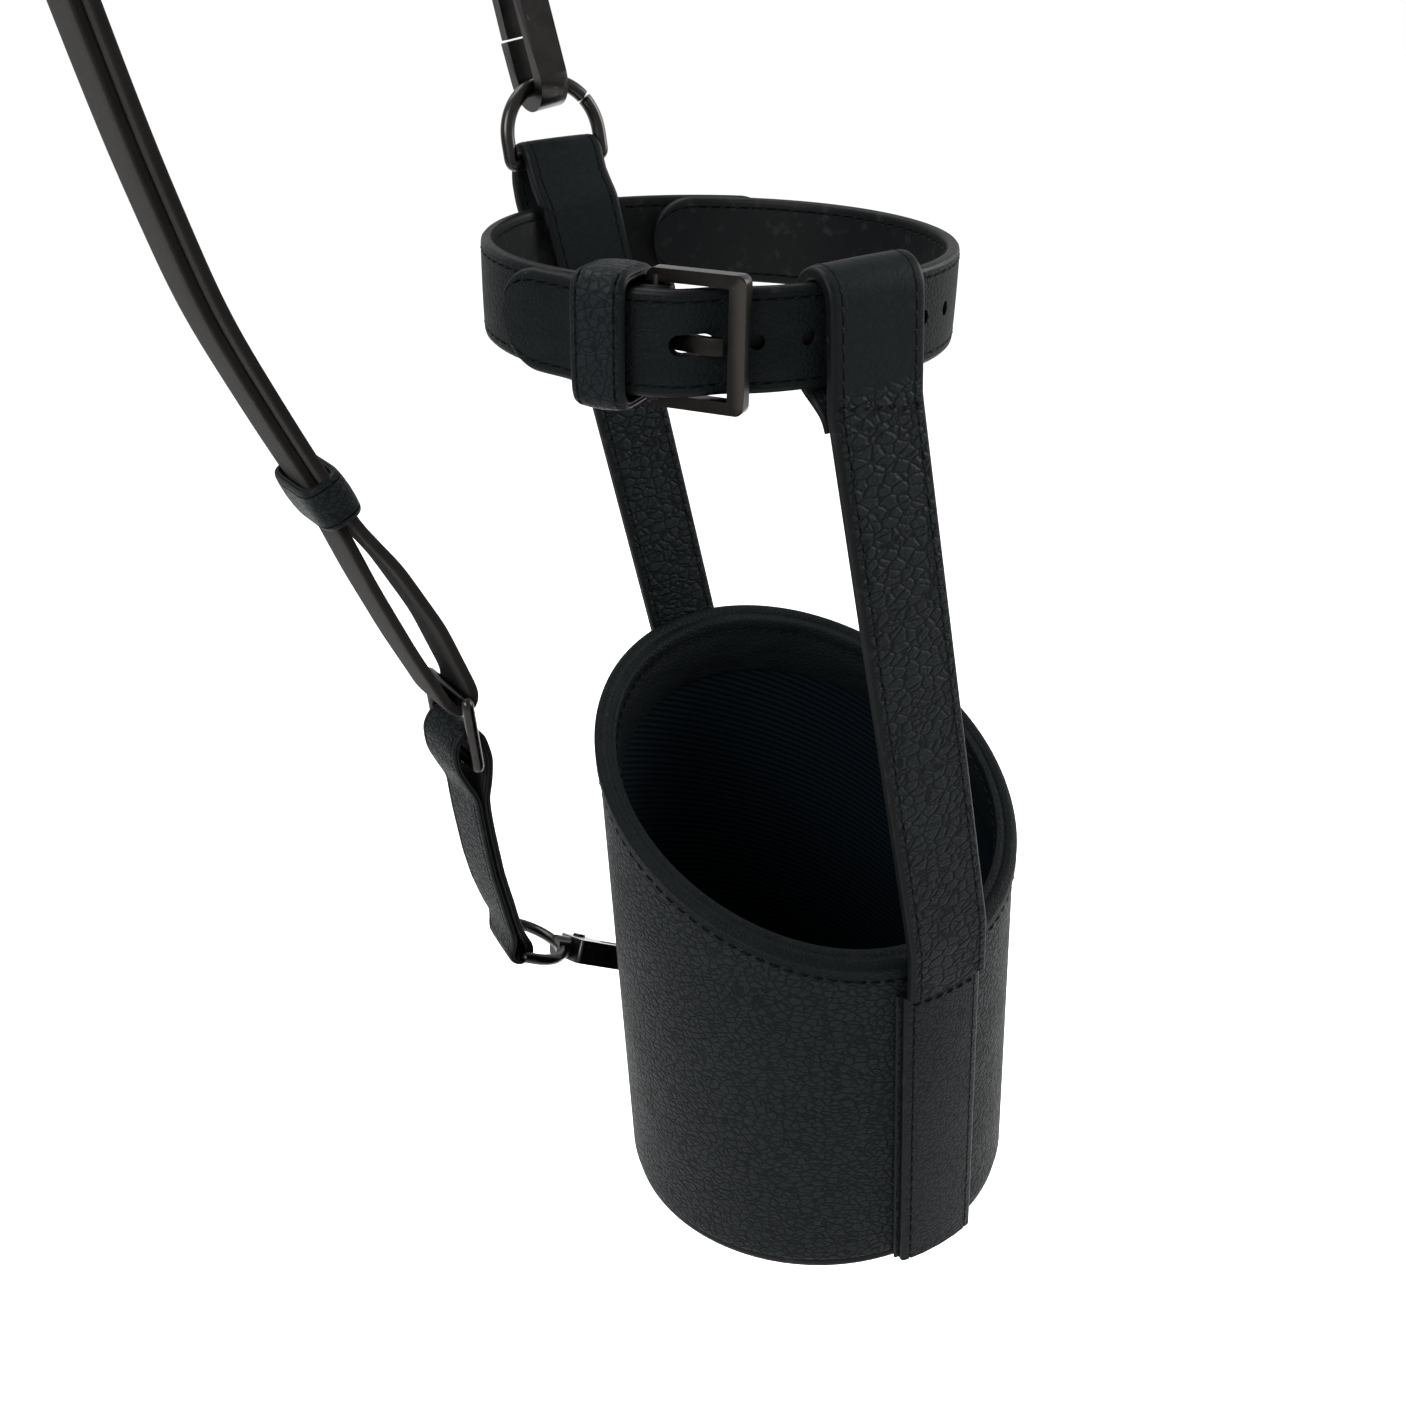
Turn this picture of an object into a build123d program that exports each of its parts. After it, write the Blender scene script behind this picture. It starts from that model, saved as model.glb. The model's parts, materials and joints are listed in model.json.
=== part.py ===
from build123d import *
from math import cos, radians, sin, sqrt
import os

os.makedirs("parts", exist_ok=True)

# Leather bottle holder: a slant-mouthed cup, two straps up to a buckled collar,
# and a doubled shoulder strap on two swivel snap hooks. Millimetres, +Z up.
# The origin is the middle of the cup's underside, the front strap is at -Y.

# cup
cup_r = 42.0
gap = 0.05
leather_t = 1.1
board_t = 0.9
lining_t = 0.5
base_leather_t = 2.2
base_board_t = 1.6
mouth_mid_z = 95.9
mouth_rise = 20.3 / 42.0
binding_t = 0.5
binding_h = 3.2
facing_h = 13.0

# straps and belts
strap_w = 16.0
front_strap_w = 18.4
strap_t = 2.2
seam_z = 69.0

# collar
collar_x = -10.5
collar_y = 8.4
collar_mid_z = 193.6
collar_slope_x = -0.054
collar_slope_y = 0.041
inner_r = 38.7
outer_r = 41.0
heel_deg = -137.0
far_deg = -120.6
prong_hole_deg = -128.0
hole_pitch_deg = 11.4
heel_bar_r = 41.2

# hardware
wire_r = 1.3
ring_arc_r = 9.6
ring_leg = 4.0
hook_width = 5.6
hook_bight_r = 5.8
hook_bar_t = 2.6
strap_plane_y = 57.2


def polar(radius, deg):
    return (radius * cos(radians(deg)), radius * sin(radians(deg)))


def mouth_plane(drop=0.0, side=1):
    return Plane(
        origin=(0, 0, mouth_mid_z - drop),
        x_dir=(1, 0, 0),
        z_dir=(0, -mouth_rise * side, side),
    )


# ---------------------------------------------------------------- the cup
shell_in = cup_r - leather_t
board_out = shell_in - gap
board_in = board_out - board_t
lining_out = board_in - gap
lining_in = lining_out - lining_t
facing_out = lining_in - gap
facing_in = facing_out - lining_t
wall_top = 0.8

with BuildPart() as base_leather:
    with BuildSketch():
        Circle(cup_r - 0.5)
    extrude(amount=base_leather_t)
    fillet(base_leather.edges().group_by(Axis.Z)[0], 0.5)
base_leather.part.label = "base_leather"
export_step(base_leather.part, "parts/base_leather.step")

base_board_z = base_leather_t + gap
with BuildPart() as base_board:
    with BuildSketch(Plane.XY.offset(base_board_z)):
        Circle(board_in - gap)
    extrude(amount=base_board_t)
base_board.part.label = "base_board"
export_step(base_board.part, "parts/base_board.step")

floor_z = base_board_z + base_board_t + gap
with BuildPart() as lining_floor:
    with BuildSketch(Plane.XY.offset(floor_z)):
        Circle(lining_in - gap)
    extrude(amount=lining_t)
lining_floor.part.label = "lining_floor"
export_step(lining_floor.part, "parts/lining_floor.step")

with BuildPart() as cup_shell:
    with BuildSketch(Plane.XY.offset(base_board_z)):
        Circle(cup_r)
        Circle(shell_in, mode=Mode.SUBTRACT)
    extrude(amount=130)
    split(bisect_by=mouth_plane(wall_top), keep=Keep.BOTTOM)
cup_shell.part.label = "cup_shell"
export_step(cup_shell.part, "parts/cup_shell.step")

with BuildPart() as cup_board:
    with BuildSketch(Plane.XY.offset(base_board_z)):
        Circle(board_out)
        Circle(board_in, mode=Mode.SUBTRACT)
    extrude(amount=130)
    split(bisect_by=mouth_plane(wall_top), keep=Keep.BOTTOM)
cup_board.part.label = "cup_board"
export_step(cup_board.part, "parts/cup_board.step")

with BuildPart() as cup_lining:
    with BuildSketch(Plane.XY.offset(floor_z)):
        Circle(lining_out)
        Circle(lining_in, mode=Mode.SUBTRACT)
    extrude(amount=130)
    split(bisect_by=mouth_plane(wall_top), keep=Keep.BOTTOM)
cup_lining.part.label = "cup_lining"
export_step(cup_lining.part, "parts/cup_lining.step")

# a strip of leather faces the lining just below the mouth
with BuildPart() as rim_facing:
    with BuildSketch(Plane.XY.offset(floor_z + 30)):
        Circle(facing_out)
        Circle(facing_in, mode=Mode.SUBTRACT)
    extrude(amount=130)
    split(bisect_by=mouth_plane(wall_top), keep=Keep.BOTTOM)
    split(bisect_by=mouth_plane(facing_h), keep=Keep.TOP)
rim_facing.part.label = "rim_facing"
export_step(rim_facing.part, "parts/rim_facing.step")

# the binding is a folded strip over the top of every wall layer
binding_out = cup_r + gap + binding_t
binding_in = facing_in - gap - binding_t
with BuildPart() as rim_binding:
    with BuildSketch(Plane.XY.offset(60)):
        Circle(binding_out)
        Circle(binding_in, mode=Mode.SUBTRACT)
    extrude(amount=80)
    split(bisect_by=mouth_plane(), keep=Keep.BOTTOM)
    split(bisect_by=mouth_plane(binding_h), keep=Keep.TOP)
    with BuildPart(mode=Mode.PRIVATE) as wall_room:
        with BuildSketch(Plane.XY.offset(50)):
            Circle(cup_r + gap)
            Circle(facing_in - gap, mode=Mode.SUBTRACT)
        extrude(amount=100)
        split(bisect_by=mouth_plane(wall_top - gap), keep=Keep.BOTTOM)
    add(wall_room.part, mode=Mode.SUBTRACT)
rim_binding.part.label = "rim_binding"
export_step(rim_binding.part, "parts/rim_binding.step")

# ---------------------------------------------------------------- bands on the cup
band_in = cup_r + gap
band_out = band_in + strap_t
back_seam_z = 104.0

for band_name, side, band_w, middle_x, top in (
    ("front_band", -1, front_strap_w, -1.0, seam_z - 0.3),
    ("back_band", 1, strap_w, 0.0, back_seam_z - 0.3),
):
    with BuildPart() as band:
        with BuildSketch(Plane.XY.offset(0.6)):
            Circle(band_out)
            Circle(band_in, mode=Mode.SUBTRACT)
            with Locations((middle_x, side * cup_r)):
                Rectangle(band_w, 20, mode=Mode.INTERSECT)
        extrude(amount=top - 0.6)
    band.part.label = band_name
    export_step(band.part, f"parts/{band_name}.step")

# ---------------------------------------------------------------- front strap
# Its side profile gives the fold over the collar, its front outline the lean.
front_y = collar_y - sqrt(inner_r**2 - 1.0)
belt_front_out = front_y - strap_t
collar_at_strap_z = collar_mid_z + collar_slope_x * -1.0 + collar_slope_y * -40.0
loop_top = collar_at_strap_z + strap_w / 2 + 1.0
loop_bottom = collar_at_strap_z - strap_w / 2 - 3.0
leg_out_y = belt_front_out - 1.3 - strap_t / 2
leg_in_y = front_y + 2.1 + strap_t / 2
cup_leg_y = -(cup_r + binding_t + 0.3 + strap_t / 2)
loop_mid_y = (leg_out_y + leg_in_y) / 2
loop_r = (leg_in_y - leg_out_y) / 2
front_foot_x = -1.0
front_top_x = -11.0
front_half_w = front_strap_w / 2

with BuildPart() as front_strap:
    with BuildSketch(Plane.YZ):
        with BuildLine() as side_path:
            Line((cup_leg_y, seam_z), (cup_leg_y, seam_z + 12))
            Line((cup_leg_y, seam_z + 12), (leg_out_y, loop_bottom))
            Line((leg_out_y, loop_bottom), (leg_out_y, loop_top - loop_r + 1.2))
            ThreePointArc(
                (leg_out_y, loop_top - loop_r + 1.2),
                (loop_mid_y, loop_top + 1.2),
                (leg_in_y, loop_top - loop_r + 1.2),
            )
            Line((leg_in_y, loop_top - loop_r + 1.2), (leg_in_y, loop_bottom + 2.2))
        trace(line_width=strap_t)
        Polygon(
            (leg_in_y - strap_t / 2, loop_bottom + 2.4),
            (leg_in_y + strap_t / 2, loop_bottom + 2.4),
            (leg_in_y + strap_t / 2, loop_bottom + 1.6),
            (leg_out_y + 1.6, loop_bottom - 4.6),
            (leg_out_y, loop_bottom - 4.6),
            (leg_out_y, loop_bottom - 0.4),
            align=None,
        )
    extrude(amount=40, both=True)
    with BuildSketch(Plane.XZ):
        Polygon(
            (front_foot_x - front_half_w, seam_z - 5),
            (front_foot_x + front_half_w, seam_z - 5),
            (front_foot_x + front_half_w, seam_z + 10),
            (front_top_x + front_half_w, loop_bottom),
            (front_top_x + front_half_w, loop_top + 20),
            (front_top_x - front_half_w, loop_top + 20),
            (front_top_x - front_half_w, loop_bottom),
            (front_foot_x - front_half_w, seam_z + 10),
            align=None,
        )
    extrude(amount=80, both=True, mode=Mode.INTERSECT)
front_strap.part.label = "front_strap"
export_step(front_strap.part, "parts/front_strap.step")

# ---------------------------------------------------------------- collar belts
collar_base = Plane(
    origin=(collar_x, collar_y, collar_mid_z),
    x_dir=(1, 0, collar_slope_x),
    z_dir=(-collar_slope_x, -collar_slope_y, 1),
)
belt_bottom = collar_base.offset(-strap_w / 2)


def smooth(value):
    value = min(1.0, max(0.0, value))
    return value * value * (3 - 2 * value)


def buckle_belt_r(deg):
    """Middle of the buckle belt: outside at the back, inside at the front left."""
    return outer_r + strap_t / 2 - (outer_r - inner_r) * smooth((deg - 85.0) / 60.0)


def tongue_belt_r(deg):
    """Middle of the tongue belt: inside at the back, over the heel bar, outside at its tip."""
    over_heel = 3.3 * smooth((-122.0 - deg) / 12.0) * smooth((deg + 160.0) / 18.0)
    settled = (outer_r - inner_r) * smooth((-92.0 - deg) / 30.0)
    return inner_r + strap_t / 2 + settled + over_heel


def belt_points(radius_of, start, end, count):
    step = (end - start) / (count - 1)
    return [polar(radius_of(start + step * k), start + step * k) for k in range(count)]


belt_end_deg = 41.0
tongue_end_deg = 75.0
tongue_tip_deg = -177.0
fold_deg = -141.5 + 360.0
heel_xy = polar(heel_bar_r, heel_deg)

with BuildPart() as collar_buckle_belt:
    with BuildSketch(belt_bottom):
        with BuildLine():
            Spline(*belt_points(buckle_belt_r, belt_end_deg, fold_deg, 40))
        trace(line_width=strap_t)
        with Locations(heel_xy):
            Circle(2.75)
        Polygon(
            polar(inner_r + strap_t - 0.2, heel_deg - 13),
            polar(inner_r + 0.6, heel_deg - 13),
            polar(heel_bar_r - 2.6, heel_deg),
            polar(heel_bar_r + 2.6, heel_deg),
            align=None,
        )
        with Locations(heel_xy):
            Circle(wire_r + 0.3, mode=Mode.SUBTRACT)
    extrude(amount=strap_w)
    # slot in the fold for the prong
    with BuildSketch(collar_base.offset(-1.75)):
        with Locations(heel_xy):
            Rectangle(8.2, 8.2, rotation=heel_deg)
    extrude(amount=3.5, mode=Mode.SUBTRACT)
collar_buckle_belt.part.label = "collar_buckle_belt"
export_step(collar_buckle_belt.part, "parts/collar_buckle_belt.step")

with BuildPart() as collar_tongue_belt:
    with BuildSketch(belt_bottom):
        with BuildLine():
            Spline(*belt_points(tongue_belt_r, tongue_end_deg, tongue_tip_deg, 60))
        trace(line_width=strap_t)
    extrude(amount=strap_w)
    for k in range(7):
        hole_deg = prong_hole_deg + k * hole_pitch_deg if k else prong_hole_deg - 1.3
        hole_dir = (
            collar_base.x_dir * cos(radians(hole_deg))
            + collar_base.y_dir * sin(radians(hole_deg))
        )
        with BuildSketch(
            Plane(origin=collar_base.origin + hole_dir * 35.0, x_dir=collar_base.z_dir, z_dir=hole_dir)
        ):
            if k == 0:
                SlotOverall(6.4, 3.4, rotation=90)
            else:
                Circle(1.2)
        extrude(amount=20, mode=Mode.SUBTRACT)
collar_tongue_belt.part.label = "collar_tongue_belt"
export_step(collar_tongue_belt.part, "parts/collar_tongue_belt.step")

# ---------------------------------------------------------------- keeper on the collar
keeper_deg = -146.0
keeper_w = 8.6
keeper_wall = 1.6
keeper_in_r = 38.0
keeper_out_r = 47.6
keeper_half_h = strap_w / 2 + 0.6
keeper_plane = Plane(
    origin=collar_base.origin
    + collar_base.x_dir * cos(radians(keeper_deg)) * (keeper_in_r + keeper_out_r) / 2
    + collar_base.y_dir * sin(radians(keeper_deg)) * (keeper_in_r + keeper_out_r) / 2,
    x_dir=collar_base.x_dir * cos(radians(keeper_deg)) + collar_base.y_dir * sin(radians(keeper_deg)),
    z_dir=collar_base.x_dir * -sin(radians(keeper_deg)) + collar_base.y_dir * cos(radians(keeper_deg)),
)
with BuildPart() as collar_keeper:
    with BuildSketch(keeper_plane.offset(-keeper_w / 2)):
        RectangleRounded(
            keeper_out_r - keeper_in_r + 2 * keeper_wall,
            2 * (keeper_half_h + keeper_wall),
            2.4,
        )
        RectangleRounded(keeper_out_r - keeper_in_r, 2 * keeper_half_h, 0.9, mode=Mode.SUBTRACT)
    extrude(amount=keeper_w)
collar_keeper.part.label = "collar_keeper"
export_step(collar_keeper.part, "parts/collar_keeper.step")

# ---------------------------------------------------------------- buckle
far_r = 45.3
frame_half_h = 9.4
side_bar_w = 2.0
far_bar_w = 2.4
far_xy = polar(far_r, far_deg)
heel_point = collar_base.from_local_coords(Vector(heel_xy[0], heel_xy[1], 0))
far_point = collar_base.from_local_coords(Vector(far_xy[0], far_xy[1], 0))
along = (far_point - heel_point).normalized()
frame_normal = along.cross(collar_base.z_dir).normalized()
frame_length = (far_point - heel_point).length
frame_plane = Plane(origin=heel_point, x_dir=along, z_dir=frame_normal)

with BuildPart() as buckle_frame:
    with BuildSketch(frame_plane.offset(-1.2)):
        with Locations((frame_length / 2, 0)):
            RectangleRounded(frame_length + far_bar_w + 0.6, 2 * frame_half_h + side_bar_w, 1.4)
            Rectangle(frame_length - far_bar_w, 2 * frame_half_h - side_bar_w, mode=Mode.SUBTRACT)
        with Locations((-1.5, 0)):
            Rectangle(6, 2 * frame_half_h - side_bar_w, mode=Mode.SUBTRACT)
    extrude(amount=2.4)
    with BuildSketch(Plane(origin=heel_point, x_dir=along, z_dir=collar_base.z_dir).offset(-frame_half_h)):
        Circle(wire_r)
    extrude(amount=2 * frame_half_h)
buckle_frame.part.label = "buckle_frame"
export_step(buckle_frame.part, "parts/buckle_frame.step")

prong_t = 1.4
with BuildPart() as buckle_prong:
    with BuildSketch(collar_base.offset(-1.3)):
        with BuildLine():
            Spline(
                polar(heel_bar_r + 1.9, heel_deg + 1.0),
                polar(43.3, -131.5),
                polar(45.3, -127.0),
                polar(45.65, -123.6),
            )
        trace(line_width=prong_t)
        with Locations(heel_xy):
            Circle(2.6)
            Circle(wire_r + 0.08, mode=Mode.SUBTRACT)
    extrude(amount=2.6)
buckle_prong.part.label = "buckle_prong"
export_step(buckle_prong.part, "parts/buckle_prong.step")

# ---------------------------------------------------------------- back strap
# It rises inside the collar, folds round the upper ring's bar and comes down outside.
ring_bar_z = 211.5
ring_bar_y = collar_y + 41.4
back_lean_x = -18.0
back_in_y = collar_y + inner_r - 1.7 - strap_t / 2
back_out_y = collar_y + outer_r + strap_t + 1.4 + strap_t / 2
back_leg_y = cup_r + binding_t + 0.3 + strap_t / 2
collar_back_z = collar_mid_z + collar_slope_y * 40.0
fold_r = wire_r + 0.35 + strap_t / 2
with BuildPart() as back_strap:
    with BuildSketch(Plane.YZ):
        with BuildLine():
            Line((back_leg_y, back_seam_z), (back_leg_y, 120))
            Line((back_leg_y, 120), (back_in_y, collar_back_z - 12))
            Line((back_in_y, collar_back_z - 12), (back_in_y, collar_back_z + 9))
            Line((back_in_y, collar_back_z + 9), (ring_bar_y - fold_r, ring_bar_z))
            ThreePointArc(
                (ring_bar_y - fold_r, ring_bar_z),
                (ring_bar_y, ring_bar_z + fold_r),
                (ring_bar_y + fold_r, ring_bar_z),
            )
            Line((ring_bar_y + fold_r, ring_bar_z), (back_out_y, collar_back_z + 9.5))
            Line((back_out_y, collar_back_z + 9.5), (back_out_y, collar_back_z - 10.5))
            Line((back_out_y, collar_back_z - 10.5), (back_in_y + strap_t, collar_back_z - 16.5))
        trace(line_width=strap_t)
    extrude(amount=60, both=True)
    with BuildSketch(Plane.XZ):
        Polygon(
            (-strap_w / 2, back_seam_z - 5),
            (strap_w / 2, back_seam_z - 5),
            (strap_w / 2, back_seam_z + 8),
            (back_lean_x + strap_w / 2, ring_bar_z - 3),
            (back_lean_x + strap_w / 2, ring_bar_z + 20),
            (back_lean_x - strap_w / 2, ring_bar_z + 20),
            (back_lean_x - strap_w / 2, ring_bar_z - 3),
            (-strap_w / 2, back_seam_z + 8),
            align=None,
        )
    extrude(amount=80, both=True, mode=Mode.INTERSECT)
back_strap.part.label = "back_strap"
export_step(back_strap.part, "parts/back_strap.step")


# ---------------------------------------------------------------- rings
upper_ring_tilt = 8.5
upper_ring_plane = Plane(
    origin=(back_lean_x, ring_bar_y, ring_bar_z),
    x_dir=(1, 0, 0),
    z_dir=(0, -cos(radians(upper_ring_tilt)), sin(radians(upper_ring_tilt))),
)
rear_bar_y = band_out + 3.2
rear_bar_z = 12.0
rear_ring_rise = 70.0
rear_ring_plane = Plane(
    origin=(0, rear_bar_y, rear_bar_z),
    x_dir=(1, 0, 0),
    z_dir=(0, -sin(radians(rear_ring_rise)), cos(radians(rear_ring_rise))),
)
for ring_name, ring_plane in (("upper_d_ring", upper_ring_plane), ("rear_d_ring", rear_ring_plane)):
    with BuildPart() as ring:
        with BuildLine(ring_plane) as ring_line:
            Line((-ring_arc_r, 0), (ring_arc_r, 0))
            Line((ring_arc_r, 0), (ring_arc_r, ring_leg))
            ThreePointArc((ring_arc_r, ring_leg), (0, ring_leg + ring_arc_r), (-ring_arc_r, ring_leg))
            Line((-ring_arc_r, ring_leg), (-ring_arc_r, 0))
        with BuildSketch(Plane(origin=ring_plane.origin, z_dir=ring_plane.x_dir)):
            Circle(wire_r)
        sweep(path=ring_line.wires()[0], transition=Transition.ROUND)
    ring.part.label = ring_name
    export_step(ring.part, f"parts/{ring_name}.step")

# leather tab that holds the rear ring at the foot of the back band
tab_t = 1.5
tab_fold_r = wire_r + 0.35 + tab_t / 2
with BuildPart() as rear_ring_tab:
    with BuildSketch(Plane.YZ):
        with BuildLine():
            Line((band_out + gap + tab_t / 2, 2.0), (band_out + gap + tab_t / 2, rear_bar_z - 1.5))
            Line((band_out + gap + tab_t / 2, rear_bar_z - 1.5), (rear_bar_y - tab_fold_r, rear_bar_z))
            ThreePointArc(
                (rear_bar_y - tab_fold_r, rear_bar_z),
                (rear_bar_y, rear_bar_z + tab_fold_r),
                (rear_bar_y + tab_fold_r, rear_bar_z),
            )
            Line((rear_bar_y + tab_fold_r, rear_bar_z), (band_out + 1.5 * tab_t + 0.2, 6.5))
            Line((band_out + 1.5 * tab_t + 0.2, 6.5), (band_out + 1.5 * tab_t + 0.2, 2.0))
        trace(line_width=tab_t)
    extrude(amount=strap_w / 2 - 0.2, both=True)
rear_ring_tab.part.label = "rear_ring_tab"
export_step(rear_ring_tab.part, "parts/rear_ring_tab.step")

# ---------------------------------------------------------------- swivel snap hooks
# Each hook is drawn with its axis along local X from the bight, its gate on +Y or -Y.
hook_head_start = 24.5
hook_head_end = 31.5
eye_bar_s = 46.7
wire_s = hook_bar_t + 0.75 + wire_r
inner_bight_r = hook_bight_r - hook_bar_t
gate_pin_s = 27.5
gate_pin_q = -3.6

rear_arc_deg = 150.0
rear_axis = (
    rear_ring_plane.x_dir * cos(radians(rear_arc_deg))
    + rear_ring_plane.y_dir * sin(radians(rear_arc_deg))
)
rear_wire = rear_ring_plane.from_local_coords(
    Vector(ring_arc_r * cos(radians(rear_arc_deg)), ring_leg + ring_arc_r * sin(radians(rear_arc_deg)), 0)
)
upper_arc_deg = 97.0
upper_axis = (
    upper_ring_plane.x_dir * cos(radians(upper_arc_deg))
    + upper_ring_plane.y_dir * sin(radians(upper_arc_deg))
)
upper_wire = upper_ring_plane.from_local_coords(
    Vector(ring_arc_r * cos(radians(upper_arc_deg)), ring_leg + ring_arc_r * sin(radians(upper_arc_deg)), 0)
)
hook_planes = (
    (
        "lower",
        Plane(
            origin=rear_wire - rear_axis * wire_s,
            x_dir=rear_axis,
            z_dir=rear_axis.cross(rear_ring_plane.z_dir),
        ),
    ),
    (
        "upper",
        Plane(
            origin=upper_wire - upper_axis * wire_s,
            x_dir=upper_axis,
            z_dir=upper_axis.cross(upper_ring_plane.z_dir),
        ),
    ),
)

for hook_name, hook_plane in hook_planes:
    with BuildPart() as hook_body:
        with BuildSketch(hook_plane.offset(-hook_width / 2)):
            with Locations((hook_bight_r, 0)):
                Circle(hook_bight_r)
            with Locations(((hook_bight_r + hook_head_start) / 2 + 0.5, hook_bight_r - hook_bar_t / 2)):
                Rectangle(hook_head_start - hook_bight_r + 1, hook_bar_t)
            with Locations((hook_bight_r + 3.4, -hook_bight_r + hook_bar_t / 2)):
                Rectangle(6.8, hook_bar_t)
            with Locations((hook_bight_r, 0)):
                Circle(inner_bight_r, mode=Mode.SUBTRACT)
            with Locations((hook_bight_r + 7, 0)):
                Rectangle(14, 2 * inner_bight_r, mode=Mode.SUBTRACT)
            with Locations(((hook_head_start + hook_head_end) / 2, 0)):
                RectangleRounded(hook_head_end - hook_head_start, 2 * hook_bight_r, 1.2)
        extrude(amount=hook_width)
        # slot for the gate's tail and a bore for the swivel's stem
        with BuildSketch(hook_plane.offset(-1.7)):
            with Locations((hook_head_start + 2.4, gate_pin_q - 0.9)):
                Rectangle(6.0, 6.6)
        extrude(amount=3.4, mode=Mode.SUBTRACT)
        with BuildSketch(Plane(origin=hook_plane.origin, z_dir=hook_plane.x_dir).offset(hook_head_end - 3.0)):
            Circle(2.05)
        extrude(amount=2.0, mode=Mode.SUBTRACT)
        with BuildSketch(Plane(origin=hook_plane.origin, z_dir=hook_plane.x_dir).offset(hook_head_end - 1.2)):
            Circle(1.35)
        extrude(amount=2.0, mode=Mode.SUBTRACT)
        with BuildSketch(hook_plane.offset(-hook_width)):
            with Locations((gate_pin_s, gate_pin_q)):
                Circle(0.85)
        extrude(amount=2 * hook_width, mode=Mode.SUBTRACT)
    hook_body.part.label = f"{hook_name}_hook_body"
    export_step(hook_body.part, f"parts/{hook_name}_hook_body.step")

    with BuildPart() as hook_pin:
        with BuildSketch(hook_plane.offset(-hook_width / 2 - 0.4)):
            with Locations((gate_pin_s, gate_pin_q)):
                Circle(0.8)
        extrude(amount=hook_width + 0.8)
        with BuildSketch(hook_plane.offset(-hook_width / 2 - 0.55), hook_plane.offset(hook_width / 2 + 0.05)):
            with Locations((gate_pin_s, gate_pin_q)):
                Circle(1.5)
        extrude(amount=0.5)
    hook_pin.part.label = f"{hook_name}_hook_pin"
    export_step(hook_pin.part, f"parts/{hook_name}_hook_pin.step")

    # the gate is as wide as the nose, and narrow where its tail turns in the head
    gate_tip = (hook_bight_r + 7.15, -hook_bight_r + hook_bar_t / 2)
    gate_root = (hook_head_start - 0.9, gate_pin_q - 0.3)
    with BuildPart() as hook_gate:
        with BuildSketch(hook_plane.offset(-2.5)):
            with BuildLine():
                Line(gate_root, gate_tip)
            trace(line_width=2.4)
        extrude(amount=5.0)
        with BuildSketch(hook_plane.offset(-1.35)):
            with BuildLine():
                Line((gate_pin_s, gate_pin_q - 0.2), (hook_head_start - 3.0, gate_pin_q - 0.5))
            trace(line_width=2.2)
            with Locations((gate_pin_s, gate_pin_q)):
                Circle(1.75)
        extrude(amount=2.7)
        with BuildSketch(hook_plane.offset(-3.0)):
            with Locations((gate_pin_s, gate_pin_q)):
                Circle(0.88)
        extrude(amount=6.0, mode=Mode.SUBTRACT)
    hook_gate.part.label = f"{hook_name}_hook_gate"
    export_step(hook_gate.part, f"parts/{hook_name}_hook_gate.step")

    # swivel eye: a headed stem and a D bow that holds the leather
    eye_neck_s = hook_head_end + 0.35
    eye_dir = Vector(0, 1, 0) - hook_plane.x_dir * Vector(0, 1, 0).dot(hook_plane.x_dir)
    eye_dir = eye_dir.normalized()
    eye_plane = Plane(origin=hook_plane.origin, x_dir=hook_plane.x_dir, z_dir=hook_plane.x_dir.cross(eye_dir))
    with BuildPart() as hook_eye:
        with BuildSketch(eye_plane):
            with BuildLine():
                Line((hook_head_end - 2.6, 0), (hook_head_end - 2.6, 1.7))
                Line((hook_head_end - 2.6, 1.7), (hook_head_end - 1.5, 1.7))
                Line((hook_head_end - 1.5, 1.7), (hook_head_end - 1.5, 1.05))
                Line((hook_head_end - 1.5, 1.05), (eye_neck_s, 1.05))
                Line((eye_neck_s, 1.05), (eye_neck_s, 2.6))
                Line((eye_neck_s, 2.6), (eye_neck_s + 3.4, 2.6))
                Line((eye_neck_s + 3.4, 2.6), (eye_neck_s + 3.4, 0))
                Line((eye_neck_s + 3.4, 0), (hook_head_end - 2.6, 0))
            make_face()
        revolve(axis=Axis(eye_plane.origin, eye_plane.x_dir))
        with BuildLine(eye_plane) as eye_line:
            Line((eye_bar_s, -ring_arc_r), (eye_bar_s, ring_arc_r))
            Line((eye_bar_s, ring_arc_r), (eye_bar_s - 3.0, ring_arc_r))
            ThreePointArc(
                (eye_bar_s - 3.0, ring_arc_r),
                (eye_bar_s - 3.0 - ring_arc_r, 0),
                (eye_bar_s - 3.0, -ring_arc_r),
            )
            Line((eye_bar_s - 3.0, -ring_arc_r), (eye_bar_s, -ring_arc_r))
        with BuildSketch(
            Plane(
                origin=eye_plane.from_local_coords(Vector(eye_bar_s, 0, 0)),
                z_dir=eye_plane.y_dir,
            )
        ):
            Circle(wire_r)
        sweep(path=eye_line.wires()[0], transition=Transition.ROUND)
    hook_eye.part.label = f"{hook_name}_hook_eye"
    export_step(hook_eye.part, f"parts/{hook_name}_hook_eye.step")
    if hook_name == "lower":
        lower_bar = eye_plane.from_local_coords(Vector(eye_bar_s, 0, 0))
        lower_bar_dir = eye_dir
    else:
        upper_bar = eye_plane.from_local_coords(Vector(eye_bar_s, 0, 0))
        upper_bar_dir = eye_dir

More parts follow.
